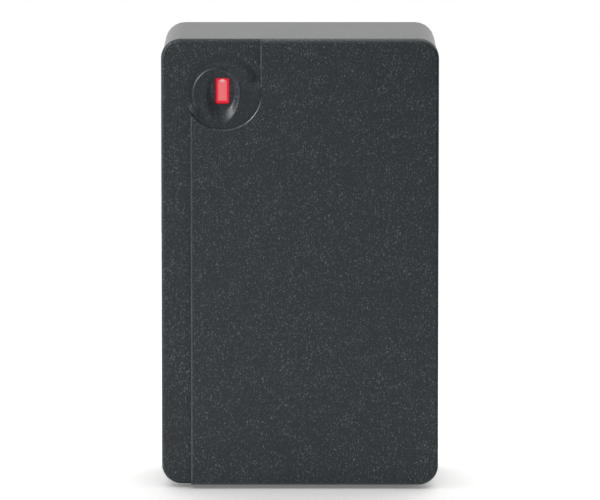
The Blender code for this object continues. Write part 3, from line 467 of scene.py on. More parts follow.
eye = show("cover_eye", bm, eye_abs, body="cover", slot="cover_plastic")
hole_half = Vector((WINDOW_HALF[0] + WINDOW_GAP, 0, WINDOW_HALF[1] + WINDOW_GAP))
hole = plate_mesh(
    Vector((window.x, STRIP_Y - PAST, window.z)) - hole_half,
    Vector((window.x, behind, window.z)) + hole_half,
    WINDOW_CORNER,
    steps=5,
)
combine(eye, hole, "DIFFERENCE")
sharpen(eye, 45)

# ---- Indicator window
# A clear red acrylic window that carries the light of the lamp behind it: deep red round its
# edge, pale where the light comes straight through, and whitest at a painted reflection, a pale
# spot near its top that is mixed into its glow.
BORDER = 0.42 * MM
BORDER_SLOPE = 0.1 * MM
BORDER_SUNK = 0.15 * MM
WINDOW_ROUND = 0.1 * MM

red_acrylic, tree, place = start_material("acrylic_red_lit")
centring = {"Vector": place, "Location": (-window.x / MM, 0, -window.z / MM)}
centred = add_node(tree, "Mapping", centring)
axes = add_node(tree, "SeparateXYZ", {"Vector": centred})
across = add_node(tree, "Math", {0: axes.outputs["X"]}, operation="ABSOLUTE")
along = add_node(tree, "Math", {0: axes.outputs["Z"], 1: 0.06}, operation="SUBTRACT")
along = add_node(tree, "Math", {0: along}, operation="ABSOLUTE")
past_side = add_node(tree, "Math", {0: across, 1: 1.2}, operation="SUBTRACT")
past_end = add_node(tree, "Math", {0: along, 1: 2.75}, operation="SUBTRACT")
edge = add_node(tree, "Math", {0: past_side, 1: past_end}, operation="MAXIMUM")
ragged = add_node(tree, "TexNoise", {"Vector": place, "Scale": 1 / 0.6, "Detail": 2})
spread = add_node(tree, "MapRange", {"Value": ragged, "To Min": -0.12, "To Max": 0.12})
edge = add_node(tree, "Math", {0: edge, 1: spread}, operation="ADD")
depth = add_node(tree, "MapRange", {"Value": edge, "From Min": -0.5, "From Max": 0.3})
reds = [(0.0, "#ef7c80"), (0.4, "#ec6c72"), (0.6, "#e93245"), (0.75, "#e21a30")]
body_tint = add_node(tree, "ValToRGB", {"Fac": depth}, reds)
# A painted reflection: a whitish spot near the window's top.
spot = add_node(tree, "Mapping", {"Vector": centred, "Location": (0, 0, -5.6), "Scale": (1.3, 0, 2.1)})
spot = add_node(tree, "VectorMath", {0: spot}, operation="LENGTH")
span = {"From Min": 0.35, "From Max": 1.1, "To Min": 0.8, "To Max": 0}
painted_reflection = add_node(tree, "MapRange", {"Value": spot.outputs["Value"], **span})
light = add_node(tree, "Mix", {"Factor": painted_reflection, 6: body_tint, 7: linear("#d5dcd8")}, data_type="RGBA")
glow = {"Emission Color": light.outputs[2], "Emission Strength": 0.8}
end_material(tree, linear("#5c0a12"), 0.3, others=glow)
bm = plate_mesh(
    (window.x - WINDOW_HALF[0], WINDOW_LOW.y, window.z - WINDOW_HALF[1]),
    (window.x + WINDOW_HALF[0], WINDOW_HIGH.y, window.z + WINDOW_HALF[1]),
    WINDOW_CORNER,
    WINDOW_ROUND,
    steps=5,
)
face = max((f for f in bm.faces if f.normal.y < -0.99), key=lambda f: f.calc_area())
bmesh.ops.inset_region(bm, faces=[face], thickness=BORDER)
bmesh.ops.inset_region(bm, faces=[face], thickness=BORDER_SLOPE)
bmesh.ops.translate(bm, vec=(0, BORDER_SUNK, 0), verts=face.verts)
lens = show("indicator_window", bm, red_acrylic, "led_lens", body="cover", slot="red_lens")
flange = plate_mesh(
    (WINDOW_LOW.x, STRIP_Y + 2.3 * MM, WINDOW_LOW.z),
    (WINDOW_HIGH.x, STRIP_Y + 3.3 * MM, WINDOW_HIGH.z),
    0.8 * MM,
    0.15 * MM,
    steps=5,
)
combine(lens, flange, "UNION")
sharpen(lens)

# ---- Back housing
# The drafted box that stays on the wall, moulded in the same charcoal ABS. Its sides come off a
# finely stoned tool, so they mirror the room softly when seen at a low angle.
MARK_RADIUS = 2.6 * MM
MARK_DEEP = 0.12 * MM
MARK_PLACES = [(x * MM, z * MM) for x in (-23, 23) for z in (-44, 0, 44)]
housing = show_refined("housing_shell", "back_housing", 0.15 * MM, satin_abs, slot="housing_plastic")
for x, z in MARK_PLACES:  # round marks of the mould's ejector pins
    combine(housing, disc_mesh(MARK_RADIUS, -MARK_DEEP, PAST, x, z, 32), "DIFFERENCE")
sharpen(housing, 30)

# ---- Wall gasket and rating plate
# A moulded EPDM cord ring that seals the back against the wall, and a blank polyester plate,
# which is stuck in a shallow recess above the cable entry.
# EPDM: nearly black, dull, with the pin-prick pores of its moulded skin.
epdm, tree, place = start_material("epdm_moulded")
pores = add_node(tree, "TexVoronoi", {"Vector": place, "Scale": 1 / 0.45, "Randomness": 1.0})
pit = add_node(tree, "MapRange", {"Value": pores, "From Min": 0.1, "From Max": 0.4})
bloom = add_node(tree, "TexNoise", {"Vector": place, "Scale": 1 / 4, "Detail": 3})
tint = add_node(tree, "ValToRGB", {"Fac": bloom}, [(0.35, "#1b1c1d"), (0.7, "#2a2b2c")])
relief = add_node(tree, "Bump", {"Height": pit, "Strength": 0.5, "Distance": 0.08 * MM})
end_material(tree, tint, 0.82, relief, {"Specular IOR Level": 0.3})
show_refined("sealing_ring", "wall_gasket", 0.35 * MM, epdm, slot="gasket_rubber")

# Polyester film: white and satin, printed with a thin grey frame and two empty ruled fields.
film, tree, place = start_material("polyester_film_printed")
PLATE_LOW, PLATE_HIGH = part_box("rating_plate")
FRAME_HALF = (15.6, 6.6)  # millimetres, like the half width of its lines
RULE_HALF = 0.14
plate_middle = (PLATE_LOW + PLATE_HIGH) / 2
centring = {"Vector": place, "Location": (-plate_middle.x / MM, 0, -plate_middle.z / MM)}
centred = add_node(tree, "Mapping", centring)
axes = add_node(tree, "SeparateXYZ", {"Vector": centred})
across = add_node(tree, "Math", {0: axes.outputs["X"]}, operation="ABSOLUTE")
along = add_node(tree, "Math", {0: axes.outputs["Z"]}, operation="ABSOLUTE")
side = add_node(tree, "Math", {0: across, 1: FRAME_HALF[0]}, operation="SUBTRACT")
end = add_node(tree, "Math", {0: along, 1: FRAME_HALF[1]}, operation="SUBTRACT")
outline = add_node(tree, "Math", {0: side, 1: end}, operation="MAXIMUM")
outline = add_node(tree, "Math", {0: outline}, operation="ABSOLUTE")
rule = add_node(tree, "Math", {0: outline, 1: along}, operation="MINIMUM")
printed = add_node(tree, "Math", {0: rule, 1: RULE_HALF}, operation="LESS_THAN")
age = add_node(tree, "TexNoise", {"Vector": place, "Scale": 1 / 9, "Detail": 3})
paper = add_node(tree, "ValToRGB", {"Fac": age}, [(0.3, "#dddcd6"), (0.7, "#e8e8e4")])
tint = add_node(tree, "Mix", {"Factor": printed, 6: paper, 7: linear("#6c6f71")}, data_type="RGBA")
end_material(tree, tint.outputs[2], 0.38, others={"Coat Weight": 0.2})
show_refined("blank_plate", "rating_plate", 0.08 * MM, film, slot="plate_film")

# ---- Circuit board
# Glass-epoxy laminate under green solder mask, with its tracks raised a hair beneath the mask,
# plated holes for the screws, and a clear opening in line with the cable entry.
BOARD_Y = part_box("circuit_board")[0].y
TRACK_PITCH = 1.27

# Solder mask over copper: glossy green, lighter where a track runs, with bright tinned vias and
# the straw-coloured edge of the bare laminate.
masked, tree, place = start_material("glass_epoxy_masked")
spread = {"Vector": place, "Scale": 1 / (4 * TRACK_PITCH), "Randomness": 0.85}
cells = add_node(tree, "TexVoronoi", spread, distance="MANHATTAN")
waves = add_node(tree, "Math", {0: cells.outputs["Distance"], 1: 22.0}, operation="MULTIPLY")
waves = add_node(tree, "Math", {0: waves}, operation="SINE")
track = add_node(tree, "MapRange", {"Value": waves, "From Min": 0.1, "From Max": 0.35})
spread = {"Vector": place, "Scale": 1 / (3 * TRACK_PITCH), "Randomness": 0.8}
dots = add_node(tree, "TexVoronoi", spread)
via = add_node(tree, "Math", {0: dots.outputs["Distance"], 1: 0.085}, operation="LESS_THAN")
masks = {"Factor": track, 6: linear("#0c4a2c"), 7: linear("#1c7044")}
green = add_node(tree, "Mix", masks, data_type="RGBA")
vias = {"Factor": via, 6: green.outputs[2], 7: linear("#c9ccc6")}
tinned = add_node(tree, "Mix", vias, data_type="RGBA")
way = add_node(tree, "SeparateXYZ", {"Vector": add_node(tree, "NewGeometry").outputs["True Normal"]})
facing = add_node(tree, "Math", {0: way.outputs["Y"]}, operation="ABSOLUTE")
flat = add_node(tree, "Math", {0: facing, 1: 0.7}, operation="GREATER_THAN")
sides = {"Factor": flat, 6: linear("#a39c62"), 7: tinned.outputs[2]}
tint = add_node(tree, "Mix", sides, data_type="RGBA")
gloss = add_node(tree, "MapRange", {"Value": flat, "To Min": 0.75, "To Max": 0.28})
relief = add_node(tree, "Bump", {"Height": track, "Strength": 0.5, "Distance": 0.04 * MM})
end_material(tree, tint.outputs[2], gloss, relief)
show_refined("masked_board", "circuit_board", 0.06 * MM, masked, slot="board_laminate")

# ---- Leads and solder
# The bent legs of the chips and the tinned pads under every component, on the board's face.
PAD_THICK = 0.05 * MM
LEG_THICK = 0.16 * MM

# Reflowed tin: bright, a little wavy, with soft dull patches where the flux sat.
tin, tree, place = start_material("tin_reflowed")
ripple = add_node(tree, "TexNoise", {"Vector": place, "Scale": 1 / 0.8, "Detail": 2})
span = {"From Min": 0.3, "From Max": 0.7, "To Min": 0.18, "To Max": 0.42}
gloss = add_node(tree, "MapRange", {"Value": ripple, **span})
tint = add_node(tree, "ValToRGB", {"Fac": ripple}, [(0.3, "#b9bbb8"), (0.7, "#d3d5d2")])
relief = add_node(tree, "Bump", {"Height": ripple, "Strength": 0.4, "Distance": 0.06 * MM})
end_material(tree, tint, gloss, relief, {"Metallic": 1.0})


def add_box(bm, low, high, edge=0.0):
    """Adds one box to a mesh that holds many."""
    low, high = Vector(low), Vector(high)
    made = bmesh.ops.create_cube(bm, size=1)["verts"]
    bmesh.ops.scale(bm, vec=high - low, verts=made)
    bmesh.ops.translate(bm, vec=(high + low) / 2, verts=made)
    if edge:
        edges = list({e for v in made for e in v.link_edges})
        round_edges(bm, edges, edge, 1)


def add_pad(bm, x, z, wide, tall):
    front = BOARD_Y - PAD_THICK
    add_box(bm, (x - wide / 2, front, z - tall / 2), (x + wide / 2, BOARD_Y, z + tall / 2))


def add_leg(bm, root, out, reach, width):
    """A gull-wing leg, from the chip's side out, down to its pad and out again."""
    along = Vector((out.z, 0, -out.x)) * width
    foot = BOARD_Y - PAD_THICK - LEG_THICK
    line = [
        root,
        root + 0.3 * reach * out,
        Vector((root.x, foot, root.z)) + 0.5 * reach * out,
        Vector((root.x, foot, root.z)) + reach * out,
    ]
    corners = [bm.verts.new(point - along / 2) for point in line]
    edges = [bm.edges.new(pair) for pair in zip(corners, corners[1:])]
    made = bmesh.ops.extrude_edge_only(bm, edges=edges)["geom"]
    bmesh.ops.translate(bm, vec=along, verts=[g for g in made if isinstance(g, bmesh.types.BMVert)])
    faces = [g for g in made if isinstance(g, bmesh.types.BMFace)]
    bmesh.ops.recalc_face_normals(bm, faces=faces)
    bmesh.ops.solidify(bm, geom=faces, thickness=LEG_THICK)
    tip = line[-1] - 0.2 * reach * out
    add_pad(bm, tip.x, tip.z, *((0.9 * reach, 1.4 * width) if out.x else (1.4 * width, 0.9 * reach)))


def legs_along(bm, node, out, count, pitch, reach, width, lift):
    """A row of legs on one side of a component."""
    low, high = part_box(node)
    centre = (low + high) / 2
    for number in range(count):
        shift = (number - (count - 1) / 2) * pitch
        root = Vector((centre.x, BOARD_Y - lift, centre.z))
        root += Vector((out.x * (high.x - low.x) / 2, 0, out.z * (high.z - low.z) / 2))
        root += Vector((abs(out.z), 0, abs(out.x))) * shift
        add_leg(bm, root, out, reach, width)


LEFT, RIGHT, UP, DOWN = Vector((-1, 0, 0)), Vector((1, 0, 0)), Vector((0, 0, 1)), Vector((0, 0, -1))
bm = bmesh.new()
for out in (LEFT, RIGHT, UP, DOWN):
    legs_along(bm, "controller_chip", out, 11, 0.8 * MM, 1.0 * MM, 0.32 * MM, 0.9 * MM)
for out in (UP, DOWN):
    legs_along(bm, "radio_chip", out, 7, 1.1 * MM, 1.0 * MM, 0.4 * MM, 1.0 * MM)
legs_along(bm, "voltage_regulator", DOWN, 3, 2.3 * MM, 2.2 * MM, 0.8 * MM, 1.2 * MM)
for out in (LEFT, RIGHT):
    legs_along(bm, "led_emitter", out, 2, 2.2 * MM, 0.5 * MM, 0.9 * MM, 0.8 * MM)
low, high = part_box("voltage_regulator")
TAB_INSET, TAB_LENGTH, TAB_BACK, TAB_FRONT = 0.5 * MM, 1.2 * MM, 0.35 * MM, 0.9 * MM
tab_low = (low.x + TAB_INSET, BOARD_Y - TAB_FRONT, high.z)
tab_high = (high.x - TAB_INSET, BOARD_Y - TAB_BACK, high.z + TAB_LENGTH)
add_box(bm, tab_low, tab_high, 0.1 * MM)
PAD_WIDE = 2.0 * MM
PAD_TALL = {"filter_capacitor": 3.4, "bulk_capacitor": 3.4, "power_inductor": 2.4, "crystal": 1.6}
for node, tall in PAD_TALL.items():
    low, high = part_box(node)
    for x in (low.x, high.x):
        add_pad(bm, x, (low.z + high.z) / 2, PAD_WIDE, tall * MM)
show("legs_and_pads", bm, tin, slot="component_metal", smooth=30)

# ---- Chips, regulator and ceramic parts
# Transfer-moulded epoxy bodies with drafted sides and a round pin-one dimple, and a sprinkle of
# small ceramic capacitors and resistors round them.
# Moulded epoxy: charcoal and matt, with a fine mineral sparkle.
epoxy, tree, place = start_material("epoxy_moulded")
filler = add_node(tree, "TexNoise", {"Vector": place, "Scale": 1 / 0.25, "Detail": 3})
tint = add_node(tree, "ValToRGB", {"Fac": filler}, [(0.35, "#1c1d1f"), (0.75, "#313335")])
relief = add_node(tree, "Bump", {"Height": filler, "Strength": 0.4, "Distance": 0.04 * MM})
end_material(tree, tint, 0.55, relief)
CHIP_DRAFT = 0.25 * MM
DIMPLE_RADIUS, DIMPLE_DEEP, DIMPLE_INSET = 0.5 * MM, 0.06 * MM, 1.1 * MM


def chip_mesh(node):
    """A chip's body: widest at its parting line, with a flat top."""
    low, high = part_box(node)
    bm = box_mesh(low, high)
    middle_y = (low.y + high.y) / 2
    bmesh.ops.bisect_plane(bm, geom=whole(bm), plane_co=(0, middle_y, 0), plane_no=(0, 1, 0))
    centre = (low + high) / 2
    for vertex in bm.verts:
        if abs(vertex.co.y - middle_y) > 1e-6:
            vertex.co.x -= math.copysign(CHIP_DRAFT, vertex.co.x - centre.x)
            vertex.co.z -= math.copysign(CHIP_DRAFT, vertex.co.z - centre.z)
    rims = [e for e in bm.edges if e.calc_face_angle(0) > 0.5]
    round_edges(bm, rims, 0.07 * MM, 2)
    return bm, low, high


for node in ("controller_chip", "radio_chip", "voltage_regulator"):
    bm, low, high = chip_mesh(node)
    body = show(f"{node}_body", bm, epoxy, node, slot="chip_epoxy", smooth=30)
    x, z = low.x + DIMPLE_INSET, high.z - DIMPLE_INSET
    dimple = disc_mesh(DIMPLE_RADIUS, low.y - MM, low.y + DIMPLE_DEEP, x, z, 24)
    combine(body, dimple, "DIFFERENCE")
    sharpen(body, 30)

# Fired ceramic: tan capacitors with a faint glaze.
ceramic, tree, place = start_material("ceramic_fired")
speck = add_node(tree, "TexNoise", {"Vector": place, "Scale": 1 / 0.3, "Detail": 3})
tint = add_node(tree, "ValToRGB", {"Fac": speck}, [(0.35, "#8a6f52"), (0.7, "#a58a69")])
end_material(tree, tint, 0.4)
SMALL_PARTS = [(8, 15), (8, 12.5), (8, 10), (8, 7.5), (8, 5), (-7.5, 3), (-5, 2), (-2.5, 2)]
SMALL_PARTS += [(0, 2), (2.5, 2), (5, 2), (-6, 16.8), (-3.6, 17.6), (6, 20), (6, 17.5), (-20, 30)]
SMALL_PARTS += [(-17, 30), (-14, 30), (12, 14), (12, 11), (12, 8), (14.5, -2), (11, -2), (7.5, -2)]
PART_LONG, PART_WIDE, PART_TALL = 2.0 * MM, 1.2 * MM, 0.7 * MM
END_LONG, END_PROUD = 0.35 * MM, 0.03 * MM  # the tinned ends, a little larger than the body
SMALL_PAD = (1.6 * MM, 0.9 * MM)
tan = bmesh.new()
caps = bmesh.new()
for x, z in SMALL_PARTS:
    x, z, half = x * MM, z * MM, PART_LONG / 2
    front, back = BOARD_Y - PART_TALL, BOARD_Y - PAD_THICK
    wide, reach = PART_WIDE / 2, half - END_LONG
    add_box(tan, (x - wide, front, z - reach), (x + wide, back, z + reach), 0.05 * MM)
    wide += END_PROUD
    for way in (-1, 1):
        ends = sorted((z + way * half, z + way * reach))
        add_box(caps, (x - wide, front - END_PROUD, ends[0]), (x + wide, back, ends[1]), 0.06 * MM)
        add_pad(caps, x, z + way * half, *SMALL_PAD)
show("ceramic_bodies", tan, ceramic, slot="chip_epoxy", smooth=30)
show("ceramic_ends", caps, tin, slot="component_metal", smooth=30)

# ---- Cans: electrolytic capacitors and crystal
# Drawn aluminium cans with a rolled waist, a scored vent and a printed black half, on square
# nylon bases, and a drawn nickel-silver crystal can welded to its flange.
# Drawn aluminium: pale grey, with a faint spun grain and a half-moon of black print on top.
aluminium, tree, place = start_material("aluminium_drawn")
rub = add_node(tree, "Mapping", {"Vector": place, "Scale": (1, 0.1, 1)})
lines = add_node(tree, "TexNoise", {"Vector": rub, "Scale": 1 / 0.2, "Detail": 3})
gloss = add_node(tree, "MapRange", {"Value": lines, "To Min": 0.22, "To Max": 0.45})
tint = add_node(tree, "ValToRGB", {"Fac": lines}, [(0.3, "#b4b6b8"), (0.7, "#cfd1d3")])
relief = add_node(tree, "Bump", {"Height": lines, "Strength": 0.25, "Distance": 0.03 * MM})
end_material(tree, tint, gloss, relief, {"Metallic": 1.0})

# Printed ink on the can: flat black with a slight gloss.
ink, tree, place = start_material("ink_printed")
worn = add_node(tree, "TexNoise", {"Vector": place, "Scale": 1 / 1.2, "Detail": 3})
tint = add_node(tree, "ValToRGB", {"Fac": worn}, [(0.3, "#121314"), (0.75, "#242628")])
end_material(tree, tint, 0.5)


def turned_mesh(centre, outline, steps=48):
    """A solid of revolution about Y. The outline is (radius, y) pairs in metres."""
    bm = bmesh.new()
    points = [bm.verts.new((centre.x + radius, y, centre.z)) for radius, y in outline]
    edges = [bm.edges.new(pair) for pair in zip(points, points[1:])]
    turn = {"cent": (centre.x, 0, centre.z), "axis": (0, 1, 0), "angle": 2 * math.pi, "use_merge": True}
    bmesh.ops.spin(bm, geom=points + edges, steps=steps, **turn)
    bmesh.ops.remove_doubles(bm, verts=bm.verts, dist=1e-7)
    bmesh.ops.recalc_face_normals(bm, faces=bm.faces)
    return bm


SCORE_HALF, SCORE_DEEP = 0.06 * MM, 0.11 * MM  # the cross-shaped vent in the can's face
for node in ("filter_capacitor", "bulk_capacitor"):
    low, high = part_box(node)
    centre, radius, front = (low + high) / 2, (high.x - low.x) / 2, low.y
    foot = high.y - 0.9 * MM
    outline = [
        (0, front + 0.05 * MM),
        (0.8 * radius, front + 0.05 * MM),
        (0.84 * radius, front),
        (0.93 * radius, front + 0.08 * MM),
        (radius, front + 0.35 * MM),
        (radius, foot - 1.5 * MM),
        (0.9 * radius, foot - 1.25 * MM),
        (0.9 * radius, foot - 1.05 * MM),
        (radius, foot - 0.8 * MM),
        (radius, foot),
        (0, foot),
    ]
    bm = turned_mesh(centre, outline)
    can = show(f"{node}_can", bm, aluminium, node, slot="component_metal")
    face_front = Vector((centre.x, front - MM, centre.z))
    face_back = Vector((centre.x, front + SCORE_DEEP, centre.z))
    for half in (Vector((0.62 * radius, 0, SCORE_HALF)), Vector((SCORE_HALF, 0, 0.62 * radius))):
        combine(can, box_mesh(face_front - half, face_back + half), "DIFFERENCE")
    sharpen(can, 30)
    print_mesh = disc_mesh(0.78 * radius, front + 0.03 * MM, front + 0.06 * MM, centre.x, centre.z, 48)
    cut = {"plane_co": (centre.x - 0.25 * radius, 0, 0), "plane_no": (1, 0, 0), "clear_outer": True}
    bmesh.ops.bisect_plane(print_mesh, geom=whole(print_mesh), **cut)
    bmesh.ops.holes_fill(print_mesh, edges=[e for e in print_mesh.edges if e.is_boundary])
    show(f"{node}_mark", print_mesh, ink, slot="chip_epoxy")
    base_low = (centre.x - radius, foot, centre.z - radius)
    base_high = (centre.x + radius, BOARD_Y, centre.z + radius)
    base = plate_mesh(base_low, base_high, 1.1 * MM, 0.1 * MM, steps=1)
    show(f"{node}_base", base, epoxy, slot="chip_epoxy", smooth=30)

# Nickel silver: warmer than steel and bright, with the long marks of its drawing die.
nickel, tree, place = start_material("nickel_silver_drawn")
rub = add_node(tree, "Mapping", {"Vector": place, "Scale": (0.15, 1, 1)})
lines = add_node(tree, "TexNoise", {"Vector": rub, "Scale": 1 / 0.25, "Detail": 3})
gloss = add_node(tree, "MapRange", {"Value": lines, "To Min": 0.18, "To Max": 0.38})
tint = add_node(tree, "ValToRGB", {"Fac": lines}, [(0.3, "#b0aca2"), (0.7, "#ccc8bd")])
end_material(tree, tint, gloss, others={"Metallic": 1.0})
low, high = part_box("crystal")
brim = Vector((0.35 * MM, 0, 0.35 * MM))
bm = plate_mesh(low + brim, high - brim, 1.8 * MM, 0.5 * MM, steps=8)
crystal = show("crystal_can", bm, nickel, "crystal", slot="component_metal")
brim_low, brim_high = (low.x, high.y - 0.5 * MM, low.z), (high.x, high.y + 0.2 * MM, high.z)
combine(crystal, plate_mesh(brim_low, brim_high, 2.1 * MM, 0.12 * MM, steps=8), "UNION")
sharpen(crystal, 30)

# ---- Inductor, film capacitor and sounder
# A copper-wound ferrite drum, a boxed film capacitor in green nylon, and a magnetic sounder with
# a round mouth, all soldered through the board.
# Ferrite: dark grey fired powder, slightly glittering and rough.
ferrite, tree, place = start_material("ferrite_sintered")
powder = add_node(tree, "TexNoise", {"Vector": place, "Scale": 1 / 0.2, "Detail": 4, "Roughness": 0.7})
tint = add_node(tree, "ValToRGB", {"Fac": powder}, [(0.35, "#232325"), (0.75, "#454548")])
relief = add_node(tree, "Bump", {"Height": powder, "Strength": 0.5, "Distance": 0.05 * MM})
end_material(tree, tint, 0.6, relief)

# Enamelled copper: a red-brown varnish over bright wire, wound in close even turns, each painted
# darker in the grooves between them as painted shade. The real turns are 0.12 mm apart; they are
# drawn at 0.3 mm so that they show.
copper, tree, place = start_material("copper_enamelled")
wound = {"Vector": place, "Scale": 1 / 0.3, "Distortion": 0.4, "Detail": 1}
turns = add_node(tree, "TexWave", wound, bands_direction="Y").outputs["Color"]
tint = add_node(tree, "ValToRGB", {"Fac": turns}, [(0.1, "#6e2f17"), (0.8, "#c8693a")])
relief = add_node(tree, "Bump", {"Height": turns, "Strength": 0.8, "Distance": 0.1 * MM})
end_material(tree, tint, 0.32, relief, {"Metallic": 0.9})

low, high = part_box("power_inductor")
centre, radius, front, foot = (low + high) / 2, (high.x - low.x) / 2, low.y, high.y
rim = 0.7 * MM
outline = [
    (0, front),
    (radius - 0.15 * MM, front),
    (radius, front + 0.15 * MM),
    (radius, front + rim),
    (0.8 * radius, front + rim + 0.05 * MM),
    (0.8 * radius, foot - rim - 0.05 * MM),
    (radius, foot - rim),
    (radius, foot),
    (0, foot),
]
bm = turned_mesh(centre, outline)
show("inductor_drum", bm, ferrite, "power_inductor", slot="chip_epoxy", smooth=30)
outline = [
    (0.75 * radius, front + rim + 0.04 * MM),
    (0.93 * radius, front + rim + 0.08 * MM),
    (0.95 * radius, (front + foot) / 2),
    (0.93 * radius, foot - rim - 0.08 * MM),
    (0.75 * radius, foot - rim - 0.04 * MM),
]
bm = turned_mesh(centre, outline + outline[:1])
show("inductor_winding", bm, copper, slot="enamelled_copper")

# Moulded nylon in green: slightly translucent, semi-gloss, with faint flow lines.
green_nylon, tree, place = start_material("nylon_green_moulded")
flow = add_node(tree, "TexNoise", {"Vector": place, "Scale": 1 / 2.5, "Detail": 2, "Distortion": 0.6})
tint = add_node(tree, "ValToRGB", {"Fac": flow}, [(0.3, "#1f7a3c"), (0.7, "#2c934a")])
fine = add_node(tree, "TexNoise", {"Vector": place, "Scale": 1 / 0.25, "Detail": 2})
relief = add_node(tree, "Bump", {"Height": fine, "Strength": 0.2, "Distance": 0.04 * MM})
gloss = add_node(tree, "MapRange", {"Value": fine, "To Min": 0.3, "To Max": 0.45})
glow = {"Subsurface Weight": 0.08, "Subsurface Radius": (MM, MM, MM)}
end_material(tree, tint, gloss, relief, glow)
show_refined("film_capacitor", "tuning_capacitor", 0.35 * MM, green_nylon, slot="green_plastic")

low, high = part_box("sounder")
centre, radius, front, foot = (low + high) / 2, (high.x - low.x) / 2, low.y, high.y
outline = [
    (0, front + 1.0 * MM),
    (1.0 * MM, front + 1.0 * MM),
    (1.0 * MM, front + 0.15 * MM),
    (1.2 * MM, front),
    (radius - 0.5 * MM, front),
    (radius - 0.1 * MM, front + 0.3 * MM),
    (radius - 0.1 * MM, front + 2.3 * MM),
    (radius - 0.25 * MM, front + 2.4 * MM),
    (radius - 0.1 * MM, front + 2.5 * MM),
    (radius, foot - 0.6 * MM),
    (radius, foot),
    (0, foot),
]
bm = turned_mesh(centre, outline, 64)
show("sounder_case", bm, epoxy, "sounder", slot="chip_epoxy", smooth=30)

# ---- Indicator lamp
# A white ceramic-filled lamp body with a round well of clear resin over the red die.
low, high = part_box("led_emitter")
centre = (low + high) / 2
# Lamp body: white, hard and smooth, with a faint warm tint.
lamp_white, tree, place = start_material("polyphthalamide_white")
speck = add_node(tree, "TexNoise", {"Vector": place, "Scale": 1 / 0.4, "Detail": 2})
tint = add_node(tree, "ValToRGB", {"Fac": speck}, [(0.3, "#d9d6cc"), (0.7, "#e8e6df")])
end_material(tree, tint, 0.35)
body = show_refined("lamp_body", "led_emitter", 0, lamp_white, slot="component_metal")
combine(body, disc_mesh(1.75 * MM, low.y - MM, low.y + 0.7 * MM, centre.x, centre.z, 48), "DIFFERENCE")
sharpen(body, 30)
outline = [(0, 0.1), (1.0, 0.14), (1.6, 0.3), (1.74, 0.69), (0, 0.69)]
resin = turned_mesh(centre, [(radius * MM, low.y + depth * MM) for radius, depth in outline])
show("lamp_resin", resin, red_acrylic, slot="red_lens")

# ---- Antenna
# A frame of natural nylon round the board's edge with a channel wound full of enamelled wire,
# whose two ends come back over the frame to pads on the board.
# Natural nylon: milky and slightly yellow, waxy to look at.
nylon, tree, place = start_material("nylon_natural_moulded")
cloud = add_node(tree, "TexNoise", {"Vector": place, "Scale": 1 / 3, "Detail": 3})
tint = add_node(tree, "ValToRGB", {"Fac": cloud}, [(0.3, "#cfc8ae"), (0.7, "#e0dac6")])
fine = add_node(tree, "TexNoise", {"Vector": place, "Scale": 1 / 0.3, "Detail": 2})
relief = add_node(tree, "Bump", {"Height": fine, "Strength": 0.2, "Distance": 0.04 * MM})
glow = {"Subsurface Weight": 0.15, "Subsurface Radius": (2 * MM, 1.6 * MM, MM)}
end_material(tree, tint, 0.42, relief, glow)
show_refined("winding_frame", "coil_former", 0.1 * MM, nylon, slot="natural_nylon")
show_refined("winding", "antenna_coil", 0.15 * MM, copper, slot="enamelled_copper")

FRAME_LOW, FRAME_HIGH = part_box("coil_former")
WIRE_RADIUS = 0.15 * MM
for number, x in enumerate((-9 * MM, -6.5 * MM)):
    top = FRAME_HIGH.z - 1.2 * MM
    over = FRAME_LOW.y - WIRE_RADIUS
    path = [
        Vector((x - 1.5 * MM, over + 1.0 * MM, top + 0.9 * MM)),
        Vector((x - 0.8 * MM, over - 0.02 * MM, top + 0.4 * MM)),
        Vector((x - 0.3 * MM, over - 0.02 * MM, top - 1.2 * MM)),
        Vector((x, over + 0.6 * MM, top - 2.6 * MM)),
        Vector((x, (over + BOARD_Y) / 2, top - 3.4 * MM)),
        Vector((x, BOARD_Y - 0.25 * MM, top - 4.6 * MM)),
        Vector((x, BOARD_Y - 0.2 * MM, top - 5.8 * MM)),
    ]
    curve = bpy.data.curves.new("wire_end", "CURVE")
    curve.dimensions = "3D"
    curve.bevel_depth = WIRE_RADIUS
    curve.bevel_resolution = 3
    curve.use_fill_caps = True
    line = curve.splines.new("NURBS")
    line.points.add(len(path) - 1)
    for point, spot in zip(line.points, path):
        point.co = (*spot, 1)
    line.use_endpoint_u = True
    line.order_u = 4
    drawn = bpy.data.objects.new("wire_end", curve)
    bpy.context.scene.collection.objects.link(drawn)
    graph = bpy.context.evaluated_depsgraph_get()
    bm = bmesh.new()
    bm.from_mesh(bpy.data.meshes.new_from_object(drawn.evaluated_get(graph)))
    bpy.data.objects.remove(drawn, do_unlink=True)
    show(f"winding_end_{number + 1}", bm, copper, slot="enamelled_copper", smooth=60)
    outline = [(0, 0.5), (0.35, 0.45), (0.7, 0.2), (1.0, 0)]
    outline = [(radius * MM, BOARD_Y - height * MM) for radius, height in outline]
    solder = turned_mesh(path[-1], outline, 24)
    show(f"winding_joint_{number + 1}", solder, tin, slot="component_metal")

# ---- Terminal block and screws
# Eight rising clamps in one green nylon block, with slotted screws in wells, and four pan-head
# screws that hold the board to its posts.
BLOCK_LOW, BLOCK_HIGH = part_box("terminal_block")
WAYS, PITCH = 8, 3.5 * MM
GROOVE_HALF, WAY_GROOVE = 0.12 * MM, 0.2 * MM
BOARD_SCREWS = 4
block = show_refined("terminal_case", "terminal_block", 0, green_nylon, slot="green_plastic")
for number in range(1, WAYS):  # shallow grooves between neighbouring ways
    x = (number - WAYS / 2) * PITCH
    groove_low = (x - GROOVE_HALF, BLOCK_LOW.y - MM, BLOCK_LOW.z - MM)
    groove_high = (x + GROOVE_HALF, BLOCK_LOW.y + WAY_GROOVE, BLOCK_HIGH.z + MM)
    combine(block, box_mesh(groove_low, groove_high), "DIFFERENCE")
sharpen(block, 30)

